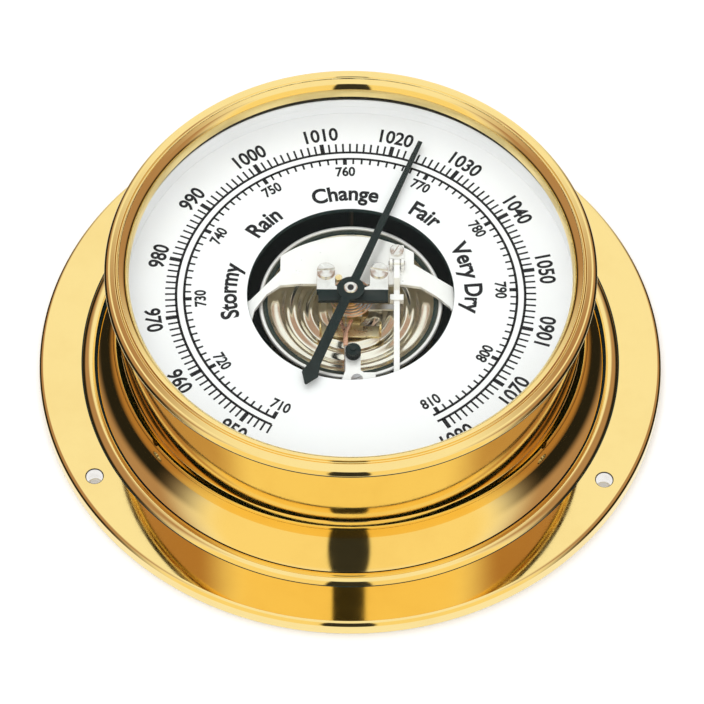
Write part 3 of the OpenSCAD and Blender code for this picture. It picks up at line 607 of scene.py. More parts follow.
@dataclass(frozen=True)
class Metal(Finish):
    """A metal finish that is rubbed bright on its edges and dull in patches.

    Attributes:
        colour: Colour of the clean metal.
        dull: Colour of the tarnish.
        worn: Colour of the rubbed edges.
        tarnish: Share of the dull colour in the darkest patches.
        rough: Lowest and highest roughness.
        grain: Marks of the tool.
        pitch: Distance between the marks in mm.
        depth: Depth of the marks in mm.
        patch: Size of the patches in mm.
        metallic: Share of bare metal.
        grime: Share of the dull colour in inner corners.
        gloss: Specular level of what isn't bare metal.
        reach: Width in mm of the rubbed edges, where rays and not the mesh measure them.
    """

    colour: Colour
    dull: Colour
    worn: Colour
    tarnish: float = 0.3
    rough: Point2 = (0.1, 0.2)
    grain: Grain = Grain.POLISHED
    pitch: float = 0.2
    depth: float = 0.002
    patch: float = 6.0
    metallic: float = 1.0
    grime: float = 0.0
    gloss: float = 0.5
    reach: float = 0.0

    def height(self, shade: Shading) -> Socket:
        """Return the relief of the tool's marks."""
        fine = shade.noise(self.pitch)
        if self.grain is Grain.TURNED:
            rings = shade.math("MULTIPLY", shade.rings(self.pitch, 0.4), 0.5)
            return shade.math("MULTIPLY_ADD", fine, 0.5, rings)
        if self.grain is Grain.BRUSHED:
            return shade.noise(self.pitch, stretch=(0.04, 1.0, 1.0), turn=8)
        if self.grain is Grain.POLISHED:
            along = shade.noise(self.pitch, stretch=(0.05, 1.0, 1.0), turn=33)
            across = shade.noise(self.pitch, stretch=(0.05, 1.0, 1.0), turn=-51)
            return shade.math("MULTIPLY", along, across)
        return fine

    def made(self, shade: Shading) -> Material:
        """Return the material, made on an empty node tree."""
        patches = shade.between(shade.noise(self.patch, detail=5), 0.0, self.tarnish, 0.45, 0.75)
        edges = shade.rubbed(self.reach) if self.reach else shade.edges()
        colour = shade.mix(patches, self.colour, self.dull)
        if self.grime:
            colour = shade.mix(shade.math("MULTIPLY", shade.hollows(), self.grime), colour, self.dull)
        colour = shade.mix(shade.math("MULTIPLY", edges, 0.7), colour, self.worn)
        relief = self.height(shade)
        rough = shade.between(shade.noise(self.patch * 0.4, 4), *self.rough, 0.3, 0.7)
        rough = shade.math("ADD", rough, shade.math("MULTIPLY", edges, 0.06))
        waves = shade.bump(shade.noise(self.patch), self.depth * 2, 0.6)
        return shade.surface(
            Base_Color=colour, Metallic=self.metallic, Roughness=rough, Specular_IOR_Level=self.gloss,
            Normal=shade.bump(relief, self.depth, 0.8, waves),
        )


@dataclass(frozen=True)
class Enamel(Finish):
    """White baked enamel of the dial, with a faint mottle and dust in its grain."""

    name: str = "dial_enamel"
    slot: Slot = Slot.DIAL
    colour: Colour = (0.93, 0.925, 0.94)
    aged: Colour = (0.86, 0.84, 0.79)

    def made(self, shade: Shading) -> Material:
        """Return the material, made on an empty node tree."""
        mottle = shade.between(shade.noise(9, detail=6), 0.0, 0.16, 0.45, 0.8)
        specks = shade.between(shade.noise(0.25, detail=2), 0.0, 0.25, 0.7, 0.9)
        colour = shade.mix(shade.math("MAXIMUM", mottle, specks), self.colour, self.aged)
        colour = shade.mix(shade.math("MULTIPLY", shade.rubbed(0.1), 0.5), colour, self.aged)
        grain = shade.noise(0.12, detail=3)
        rough = shade.between(grain, 0.42, 0.58)
        normal = shade.bump(grain, 0.0012, 0.5)
        return shade.surface(Base_Color=colour, Roughness=rough, Normal=normal, Specular_IOR_Level=0.3)


@dataclass(frozen=True)
class Ink(Finish):
    """Black printing ink, a little thin in places."""

    name: str = "dial_ink"
    slot: Slot = Slot.DIAL
    colour: Colour = (0.006, 0.006, 0.008)
    thin: Colour = (0.035, 0.036, 0.042)

    def made(self, shade: Shading) -> Material:
        """Return the material, made on an empty node tree."""
        patches = shade.noise(0.5, detail=4)
        colour = shade.mix(shade.between(patches, 0.0, 1.0, 0.5, 0.8), self.colour, self.thin)
        rough = shade.between(patches, 0.38, 0.6)
        normal = shade.bump(patches, 0.001, 0.5)
        return shade.surface(Base_Color=colour, Roughness=rough, Normal=normal, Specular_IOR_Level=0.25)


@dataclass(frozen=True)
class Pane(Finish):
    """Clear flat glass that lets the light through and mirrors it faintly.

    Attributes:
        index: Refractive index that sets the strength of the reflection.
        tint: Colour that the glass gives to what is behind it.
    """

    name: str = "clear_pane"
    slot: Slot = Slot.GLASS
    index: float = 1.22
    tint: Colour = (0.985, 0.995, 0.99)

    def made(self, shade: Shading) -> Material:
        """Return the material, made on an empty node tree."""
        wipes = shade.noise(14, detail=3, stretch=(0.3, 1.0, 1.0), turn=25)
        rough = shade.between(wipes, 0.0, 0.03, 0.5, 0.8)
        normal = shade.bump(shade.noise(30, detail=1), 0.004, 0.4)
        through = shade.out("ShaderNodeBsdfTransparent", {"Color": (*self.tint, 1.0)})
        inputs = {"Color": (*WHITE, 1.0), "Roughness": rough, "Normal": normal}
        mirror = shade.out("ShaderNodeBsdfGlossy", inputs)
        fresnel = shade.out("ShaderNodeFresnel", {"IOR": self.index})
        entering = shade.math("SUBTRACT", 1.0, shade.geometry("Backfacing"))
        return shade.closed(shade.mixed(shade.math("MULTIPLY", fresnel, entering), through, mirror))


@dataclass(frozen=True)
class Rubber(Finish):
    """Matt black rubber with a dusty grain."""

    name: str = "gasket_rubber"
    slot: Slot = Slot.RUBBER
    colour: Colour = (0.02, 0.02, 0.02)
    dusty: Colour = (0.07, 0.068, 0.065)

    def made(self, shade: Shading) -> Material:
        """Return the material, made on an empty node tree."""
        grain = shade.noise(0.15, detail=4)
        dust = shade.math("ADD", shade.between(grain, 0.0, 0.5, 0.5, 0.8), shade.edges())
        colour = shade.mix(dust, self.colour, self.dusty)
        rough = shade.between(grain, 0.7, 0.95)
        return shade.surface(Base_Color=colour, Roughness=rough, Normal=shade.bump(grain, 0.01, 0.6))


@dataclass(frozen=True)
class FloorPaint:
    """Pale matt floor that shows white to the camera, keeps the object's shadow and is clear from below.

    Attributes:
        colour: Colour of the paint.
        mottle: Colour of its patches.
        lift: Strength that the camera sees on top of the paint, as a colour near white would show.
    """

    name: str = "pale_floor"
    colour: Colour = (0.9, 0.9, 0.9)
    mottle: Colour = (0.88, 0.88, 0.88)
    lift: float = 0.12

    def build(self) -> Material:
        """Return the material."""
        shade = Shading(self.name)
        colour = shade.mix(shade.between(shade.noise(60, detail=3), 0.0, 0.2), self.colour, self.mottle)
        paint = shade.out("ShaderNodeBsdfDiffuse", {"Color": colour})
        glow = shade.out("ShaderNodeEmission", {"Color": (*WHITE, 1.0), "Strength": self.lift})
        lit = shade.out("ShaderNodeAddShader", {0: paint, 1: glow})
        seen = shade.add("ShaderNodeLightPath").outputs["Is Camera Ray"]
        clear = shade.out("ShaderNodeBsdfTransparent")
        above = shade.mixed(seen, paint, lit)
        return shade.closed(shade.mixed(shade.geometry("Backfacing"), above, clear))


CASE_BRASS = Metal(
    "case_brass", Slot.BRASS, (0.975, 0.76, 0.305), (0.82, 0.56, 0.18), (1.0, 0.86, 0.50),
    tarnish=0.22, rough=(0.035, 0.075), grain=Grain.POLISHED, pitch=0.3, depth=0.0006, patch=11, reach=0.12,
)
SATIN_BRASS = Metal(
    "satin_brass", Slot.BRASS, (0.97, 0.77, 0.34), (0.80, 0.55, 0.2), (1.0, 0.88, 0.55),
    tarnish=0.2, rough=(0.34, 0.46), grain=Grain.TURNED, pitch=0.12, depth=0.0006, patch=9,
)
MOVEMENT_BRASS = Metal(
    "movement_brass_turned", Slot.MOVEMENT, (0.90, 0.68, 0.30), (0.50, 0.33, 0.13), (1.0, 0.86, 0.55),
    tarnish=0.4, rough=(0.16, 0.32), grain=Grain.TURNED, pitch=0.08, depth=0.0012, patch=3, grime=0.5,
)
STRAP_BRASS = Metal(
    "strap_brass", Slot.MOVEMENT, (0.93, 0.74, 0.36), (0.55, 0.36, 0.14), (1.0, 0.9, 0.62),
    tarnish=0.35, rough=(0.18, 0.34), grain=Grain.BRUSHED, pitch=0.06, depth=0.0015, patch=2.5, grime=0.6,
)
NICKEL = Metal(
    "satin_nickel", Slot.NICKEL, (0.985, 0.975, 0.955), (0.68, 0.63, 0.55), (1.0, 0.995, 0.985),
    tarnish=0.14, rough=(0.26, 0.42), grain=Grain.BRUSHED, pitch=0.06, depth=0.0012, patch=4,
    grime=0.4, metallic=0.45,
)
CAPSULE_SHEET = Metal(
    "capsule_sheet", Slot.NICKEL, (0.95, 0.86, 0.62), (0.30, 0.20, 0.08), (1.0, 0.97, 0.86),
    tarnish=0.3, rough=(0.1, 0.22), grain=Grain.TURNED, pitch=0.07, depth=0.0008, patch=5, grime=0.9,
)
WAVED_SHEET = Metal(
    "waved_sheet", Slot.NICKEL, (0.99, 0.95, 0.82), (0.34, 0.26, 0.14), (1.0, 0.99, 0.94),
    tarnish=0.2, rough=(0.1, 0.2), grain=Grain.TURNED, pitch=0.07, depth=0.0008, patch=5, grime=0.95,
)
STEEL = Metal(
    "machined_steel", Slot.STEEL, (0.60, 0.60, 0.61), (0.20, 0.19, 0.19), (0.86, 0.86, 0.87),
    tarnish=0.4, rough=(0.2, 0.36), grain=Grain.TURNED, pitch=0.05, depth=0.001, patch=2, grime=0.5,
)
SCREW_NICKEL = Metal(
    "screw_nickel", Slot.NICKEL, (0.90, 0.88, 0.85), (0.40, 0.36, 0.30), (1.0, 0.99, 0.97),
    tarnish=0.25, rough=(0.12, 0.25), grain=Grain.POLISHED, pitch=0.08, depth=0.0008, patch=1.5, grime=0.7,
)
BLACK_LACQUER = Metal(
    "black_lacquer", Slot.BLACK, (0.008, 0.018, 0.017), (0.004, 0.006, 0.006), (0.06, 0.06, 0.055),
    tarnish=0.7, rough=(0.3, 0.46), grain=Grain.BLASTED, pitch=0.12, depth=0.0015, patch=2.5,
    metallic=0.0, gloss=0.14,
)
BLACKED_STEEL = Metal(
    "blacked_steel", Slot.STEEL, (0.02, 0.02, 0.022), (0.008, 0.008, 0.008), (0.12, 0.12, 0.12),
    tarnish=0.6, rough=(0.35, 0.5), grain=Grain.TURNED, pitch=0.06, depth=0.001, patch=1,
    metallic=0.0, gloss=0.2,
)
# Dark slate paint of the case's inside, the movement base and the dial's back. The same finish also paints
# shade into the flange's slit, the line at the ridge's foot, the line under the bezel's bead, the dial's
# window edge and the diaphragm's outer edge.
DARK_PAINT_AND_SHADE = Metal(
    "dark_lining", Slot.MOVEMENT, (0.018, 0.036, 0.034), (0.010, 0.016, 0.015), (0.10, 0.09, 0.06),
    tarnish=0.6, rough=(0.5, 0.7), grain=Grain.BLASTED, pitch=0.3, depth=0.004, patch=4,
    metallic=0.0, gloss=0.12,
)
COPPER = Metal(
    "copper_strip_finish", Slot.COPPER, (0.83, 0.45, 0.30), (0.33, 0.14, 0.08), (1.0, 0.72, 0.52),
    tarnish=0.5, rough=(0.2, 0.36), grain=Grain.BRUSHED, pitch=0.05, depth=0.001, patch=1.2, grime=0.5,
)


def dress(piece: Object, body: Body, finish: Finish, *nodes: str) -> Object:
    """Give a piece its material and its place in the assembly.

    Args:
        piece: The finished piece.
        body: Body that it rides on.
        finish: Its finish.
        nodes: CAD nodes that it stands for.

    Returns:
        The piece.
    """
    piece.data.materials.clear()
    piece.data.materials.append(finish.build())
    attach(piece, body.value)
    if nodes:
        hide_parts(*nodes)
    LOG.info("%s: %d faces, on %s, %s", piece.name, len(piece.data.polygons), body.value, finish.name)
    return piece


def shaded(piece: Object, finish: Finish, chosen: Callable[[float, float, float], bool]) -> None:
    """Give another finish to those faces of a dressed piece whose centre, in mm, is chosen."""
    piece.data.materials.append(finish.build())
    index = len(piece.data.materials) - 1
    for face in piece.data.polygons:
        if chosen(*(c / MM for c in face.center)):
            face.material_index = index


def dress_softened(body: Body, finish: Finish, edge: float, *nodes: str) -> None:
    """Round the edges of CAD nodes and dress each as its own piece."""
    for node in nodes:
        dress(softened(node, edge), body, finish, node)


# Sub-assemblies


@dataclass
class SlottedScrew:
    """A screw with a straight slot, standing on z = 0 with its shank below.

    Attributes:
        head_r: Radius of the head.
        head_h: Height of the head.
        shank_r: Radius of the shank.
        shank_l: Length of the shank.
        slot_w: Width of the slot.
        slot_d: Depth of the slot.
        sunk: Whether the head is a cone below z = 0.
        dome: Height of the head's dome as a share of its radius.
        flat: Radius of the dome's flat top as a share of the head's radius.
    """

    head_r: float
    head_h: float
    shank_r: float
    shank_l: float
    slot_w: float
    slot_d: float
    sunk: bool = False
    dome: float = 0.12
    flat: float = 0.45

    def mesh(self, name: str) -> Object:
        """Return the screw as a new object."""
        head, shank = self.head_r, self.shank_r
        corners = [(0, -self.shank_l, 0), (shank, -self.shank_l, 0.08)]
        if self.sunk:
            top = 0.0
            corners += [(shank, shank - head, 0), (head, -0.04, 0)] if head > shank else []
            corners += [(head, 0, 0.03), (0, 0, 0)]
        else:
            top = self.head_h
            corners += [(shank, 0, 0), (head, 0, 0.03), (head, top - self.dome * head, 0.1 * head)]
            corners += [(head * self.flat, top, 0), (0, top, 0)]
        screw = lathe(name, profile(corners, 0.03), segments=56)
        slot = cuboid(name + "_slot", (3 * head, self.slot_w, 2 * self.slot_d), (0, 0, top))
        return carved(screw, [slot])

    def set_at(
        self, name: str, spots: Sequence[Point3], turns: Sequence[Point3], finish: Finish, node: str
    ) -> None:
        """Set copies of the screw into the case as one piece.

        Args:
            name: Name of the piece.
            spots: Place of each screw in mm.
            turns: Turn of each screw about X, Y and Z in degrees.
            finish: Finish of the screws.
            node: CAD node that they stand for.
        """
        piece = repeated(name, self.mesh(name + "_shape"), spots, turns, finish.build())
        dress(piece, Body.CASE, finish, node)


def cuboid(name: str, size: Point3, middle: Point3) -> Object:
    """Return a box of a size about its middle."""
    signs = [(x, y, z) for x in (-0.5, 0.5) for y in (-0.5, 0.5) for z in (-0.5, 0.5)]
    points = [tuple(m + s * k for m, s, k in zip(middle, size, sign)) for sign in signs]
    faces = [(0, 1, 3, 2), (4, 6, 7, 5), (0, 4, 5, 1), (2, 3, 7, 6), (0, 2, 6, 4), (1, 5, 7, 3)]
    return solid(name, points, faces)


@dataclass
class Case:
    """The brass case: flange with neck, drum with band, bezel, inner ring, gasket and glass.

    Attributes:
        sweep: Radius and height of the centre of the neck's hollow sweep, and the sweep's own radius.
        sweep_end: Angle in degrees at which the sweep ends in the slit.
        slit: Inner and outer radius of the slit at the sweep's foot, and the height of its ground.
        roll: The round ridge outside the slit, given like the sweep.
        roll_start: Angle in degrees at which the ridge rises from the slit.
        foot_line: Width of the painted shadow line at the ridge's foot.
        bead: The bezel's bead, given like the sweep.
        bead_line: Painted shadow line low on the bead's outside: how far out from its centre, how high, and
            half its width.
        groove: The bezel's groove, given like the sweep.
        crest: Outer and inner radius of the bezel's fine crest.
        lip_roll: The rolled lip inside the bezel, given like the sweep.
        lip_satin: Height over the roll's centre up to which the lip is satin.
        vent: Radius of the hole in the drum's back, and its place below the middle.
        base_screw: Radius of a base screw's head and of its shank hole.
    """

    flange_r: float = 55.0
    flange_t: float = 3.0
    rim_round: float = 0.8
    sweep: Corner = (49.66, 11.15, 9.26)
    sweep_end: float = 238.0
    slit: Corner = (44.75, 45.2, 2.7)
    roll: Corner = (45.85, 1.95, 1.85)
    roll_start: float = 110.0
    foot_line: float = 0.18
    neck_r: float = 40.4
    neck_bore_r: float = 38.6
    neck_top: float = 12.55
    screw_circle_r: float = 51.1
    screw_hole_r: float = 1.45
    screw_sink_r: float = 1.62
    screw_angles: tuple[float, ...] = (0.0, 120.0, 240.0)
    setscrew_r: float = 0.85
    setscrew_z: float = 9.7
    setscrew_out: float = 39.75
    setscrew_angles: tuple[float, ...] = (0.0, 124.0, -124.0)
    spigot_r: float = 38.5
    back_z: float = 0.9
    back_top: float = 2.2
    drum_bore_r: float = 37.3
    band_low_r: float = 40.35
    band_top_r: float = 41.25
    dial_seat: float = 21.45
    dial_top: float = 22.45
    ring_top: float = 26.4
    glass_low: float = 26.8
    glass_top: float = 28.3
    drum_top: float = 29.15
    disc_r: float = 39.6
    room_r: float = 39.7
    lip_r: float = 38.9
    bezel_top: float = 31.5
    bead: Corner = (41.42, 30.13, 0.9)
    groove: Corner = (40.22, 31.3, 0.25)
    crest: Point2 = (40.0, 39.88)
    lip_satin: float = 0.9
    bead_line: Corner = (0.5, -0.14, 0.24)
    lip_roll: Corner = (40.15, 29.27, 2.0)
    base_screw_r: float = 21.51
    base_screw: Point2 = (1.7, 0.9)
    vent: Point2 = (1.1, 31.65)
    adjust_hole_r: float = 2.65

    def flange(self) -> None:
        """Turn the flange with its neck, and drill it."""
        edge = self.flange_r - self.rim_round
        roll_x, roll_z, roll_r = self.roll
        outer = math.degrees(math.asin((self.flange_t - roll_z) / roll_r))
        foot = roll_x + roll_r * math.cos(math.radians(outer))
        sweep_x, sweep_z, sweep_r = self.sweep
        inner, out, low = self.slit
        corners = [
            (self.neck_bore_r, 0, 0.2), (self.flange_r, 0, 0.15),
            *arc((edge, self.flange_t - self.rim_round), self.rim_round, 0, 90, 14),
            (foot + self.foot_line, self.flange_t, 0),
            *arc((roll_x, roll_z), roll_r, outer, self.roll_start, 24), (out, low, 0), (inner, low, 0),
            *arc((sweep_x, sweep_z), sweep_r, self.sweep_end, 180, 44),
            (self.neck_r, self.neck_top, 0.05), (self.neck_bore_r, self.neck_top, 0.2),
        ]
        body = lathe("flange_and_neck", profile(corners), segments=360)
        ledge = self.flange_t - (self.screw_sink_r - self.screw_hole_r)
        screw_hole = [
            (0, -1, 0), (self.screw_hole_r, -1, 0), (self.screw_hole_r, ledge, 0),
            (self.screw_sink_r, self.flange_t, 0.05), (self.screw_sink_r, self.flange_t + 1, 0),
            (0, self.flange_t + 1, 0),
        ]
        cutters = []
        for angle in self.screw_angles:
            drill = lathe("drill", profile(screw_hole), (0, self.screw_circle_r), 56)
            cutters.append(moved(drill, turned_about(angle)))
        for angle in self.setscrew_angles:
            drill = rod("drill", self.setscrew_r, self.neck_bore_r - 1, self.neck_r + 1)
            tip = Matrix.Translation((0, 0, self.setscrew_z * MM)) @ Matrix.Rotation(-math.pi / 2, 4, "X")
            cutters.append(moved(drill, turned_about(angle) @ tip))
        flange = carved(body, cutters)
        dress(flange, Body.CASE, CASE_BRASS, "mounting_flange")
        spots = [polar(self.screw_circle_r, angle) for angle in self.screw_angles]
        # Radius of the painted shadow line at the ridge's foot.
        line = foot + self.foot_line / 2

        def in_hole(x: float, y: float, inside: float, outside: float) -> bool:
            """Tell whether a spot lies between two distances from the nearest screw hole's axis."""
            return inside < min(math.dist((x, y), spot) for spot in spots) < outside

        def in_line(x: float, y: float, z: float) -> bool:
            """Tell whether a spot lies in the slit or in the fine line at the ridge's foot, both painted dark
            as shade.
            """
            reach = math.hypot(x, y)
            in_slit = inner - TOUCH < reach < out + TOUCH and 0 < z < self.flange_t + 0.4
            return in_slit or abs(reach - line) < 0.07 and z > 1

        wall, sink, face = self.screw_hole_r, self.screw_sink_r, self.flange_t - TOUCH
        # The hole walls are painted pale nickel as painted light seen through the holes, and the countersinks
        # are painted dark as a painted shadow outline.
        shaded(flange, SCREW_NICKEL, lambda x, y, z: TOUCH < z < ledge and in_hole(x, y, -1, wall + TOUCH))
        shaded(flange, BLACKED_STEEL, lambda x, y, z: ledge < z < face and in_hole(x, y, wall, sink))
        # The slit and the fine line at the ridge's foot are painted dark as shade.
        shaded(flange, DARK_PAINT_AND_SHADE, in_line)

    def drum(self) -> None:
        """Turn the drum with its band, and drill its back."""
        corners = [
            (self.adjust_hole_r, self.back_z, 0.1), (self.spigot_r, self.back_z, 0.4),
            (self.spigot_r, self.neck_top, 0), (self.band_low_r - 0.06, self.neck_top, 0.02),
            (self.band_low_r, self.neck_top + 0.06, 0.02), (self.band_top_r, self.drum_top, 0.12),
            (self.room_r, self.drum_top, 0.1), (self.room_r, self.dial_seat, 0),
            (self.drum_bore_r, self.dial_seat, 0.15), (self.drum_bore_r, self.back_top, 0.8),
            (self.adjust_hole_r, self.back_top, 0.1),
        ]
        body = lathe("drum_and_band", profile(corners), segments=360)
        cutters = [moved(self.base_screw_drill(), turned_about(angle)) for angle in (0, 120, 240)]
        vent = rod("vent_drill", self.vent[0], self.back_z - 1, self.back_top + 1)
        cutters.append(moved(vent, Matrix.Translation((0, -self.vent[1] * MM, 0))))
        drum = carved(body, cutters)
        dress(drum, Body.CASE, CASE_BRASS, "case_drum")
        bore, ground = self.drum_bore_r + 0.05, self.back_top - 0.05
        shaded(drum, DARK_PAINT_AND_SHADE, lambda x, y, z: math.hypot(x, y) < bore and z > ground)

    def base_screw_drill(self) -> Object:
        """Return the drill for a base screw: a shank hole with a cone at the back."""
        head, hole = self.base_screw
        corners = [
            (0, self.back_z - 1), (head, self.back_z - 1), (head, self.back_z),
            (hole, self.back_z + 0.8), (hole, self.back_top + 1), (0, self.back_top + 1),
        ]
        return lathe("base_screw_drill", corners, (0, self.base_screw_r), 40)

    def bezel(self) -> None:
        """Turn the bezel with its bead, groove, fine crest and rolled lip."""
        bead_x, bead_z, bead_r = self.bead
        groove_x, groove_z, groove_r = self.groove
        roll_x, roll_z, roll_r = self.lip_roll
        throat_r, top = roll_x - roll_r, self.bezel_top
        corners = [
            (throat_r, self.glass_top, 0.08), (self.disc_r, self.glass_top, 0.05),
            (self.disc_r, self.drum_top, 0), (bead_x - 0.3, self.drum_top, 0),
            *arc((bead_x, bead_z), bead_r, -88, 95, 30),
            (groove_x + 0.3, top - 0.28, 0.1), *arc((groove_x, groove_z), groove_r, -40, -150, 8),
            (self.crest[0], top, 0.04), (self.crest[1], top, 0.04), (self.crest[1] - 0.04, top - 0.23, 0.05),
            *arc((roll_x, roll_z), roll_r, 120, 180, 18),
        ]
        bezel = lathe("bezel_with_bead", profile(corners), segments=360)
        dress(bezel, Body.CASE, CASE_BRASS, "bezel_ring")
        out, level, half = self.bead_line
        satin_top = roll_z + self.lip_satin
        side, low = bead_x + out, self.glass_top
        # A painted shadow line low on the outside of the bead.
        shaded(bezel, DARK_PAINT_AND_SHADE, lambda x, y, z: math.hypot(x, y) > side and abs(z - bead_z - level) < half)
        shaded(bezel, SATIN_BRASS, lambda x, y, z: math.hypot(x, y) < self.lip_r and low < z < satin_top)

    def inner_ring(self) -> None:
        """Turn the white ring between the dial and the gasket, with a fine step half way up."""
        step = self.dial_top + 2.05
        corners = [
            (self.lip_r, self.dial_top, 0.1), (self.disc_r, self.dial_top, 0.1),
            (self.disc_r, self.ring_top, 0.1), (self.lip_r - 0.1, self.ring_top, 0.14),
            (self.lip_r - 0.1, step + 0.12, 0.05), (self.lip_r + 0.12, step + 0.06, 0.04),
            (self.lip_r + 0.12, step - 0.06, 0.04), (self.lip_r, step - 0.12, 0.05),
        ]
        dress(lathe("inner_ring", profile(corners), segments=288), Body.CASE, Enamel(), "dial_ring")

    def gasket(self) -> None:
        """Turn the gasket under the glass."""
        corners = section(self.lip_r, self.disc_r, self.ring_top, self.glass_low, 0.12, 0.12, 0.12, 0.12)
        dress(lathe("gasket", profile(corners), segments=192), Body.CASE, Rubber(), "glass_gasket")

    def pane(self) -> None:
        """Turn the flat glass with its ground edge."""
        corners = section(0, self.disc_r, self.glass_low, self.glass_top, 0, 0.2, 0.2, 0)
        dress(lathe("window_pane", profile(corners), segments=192), Body.CASE, Pane(), "glass")

    def setscrews(self) -> None:
        """Set the three grub screws into the neck."""
        grub = SlottedScrew(self.setscrew_r, 0, self.setscrew_r, 1.5, 0.34, 0.45, sunk=True)
        spots = [(*polar(self.setscrew_out, angle), self.setscrew_z) for angle in self.setscrew_angles]
        turns = [(-90.0, 0.0, -angle) for angle in self.setscrew_angles]
        grub.set_at("setscrews_slotted", spots, turns, BLACKED_STEEL, "case_setscrews")

    def build(self) -> None:
        """Build every piece of the case."""
        self.flange()
        self.drum()
        self.bezel()
        self.inner_ring()
        self.gasket()
        self.pane()
        self.setscrews()


@dataclass(frozen=True)
class Scale:
    """One printed scale of the dial, sizes in mm and angles in degrees clockwise from 12.

    Attributes:
        name: Name of the piece.
        first: Value of the first tick.
        last: Value of the last tick.
        zero: Value at 12 o'clock.
        step: Angle of one unit.
        line_r: Radius of the line that carries the ticks.
        line_w: Width of that line.
        side: 1 where the ticks point outwards, and -1 inwards.
        tick: Length and width of a tick.
        tenth: Length and width of every tenth tick.
    """

    name: str
    first: int
    last: int
    zero: float
    step: float
    line_r: float
    line_w: float
    side: float
    tick: Point2
    tenth: Point2

    def angle(self, value: float) -> float:
        """Return the angle of a value."""
        return (value - self.zero) * self.step


@dataclass(frozen=True)
class Label:
    """Words or a number on the dial, on an arc round its centre."""

    text: str
    angle: float
    radius: float
    height: float
    facing: Facing = Facing.OUTWARD
    weight: float = 0.0
    width: float = 1.0


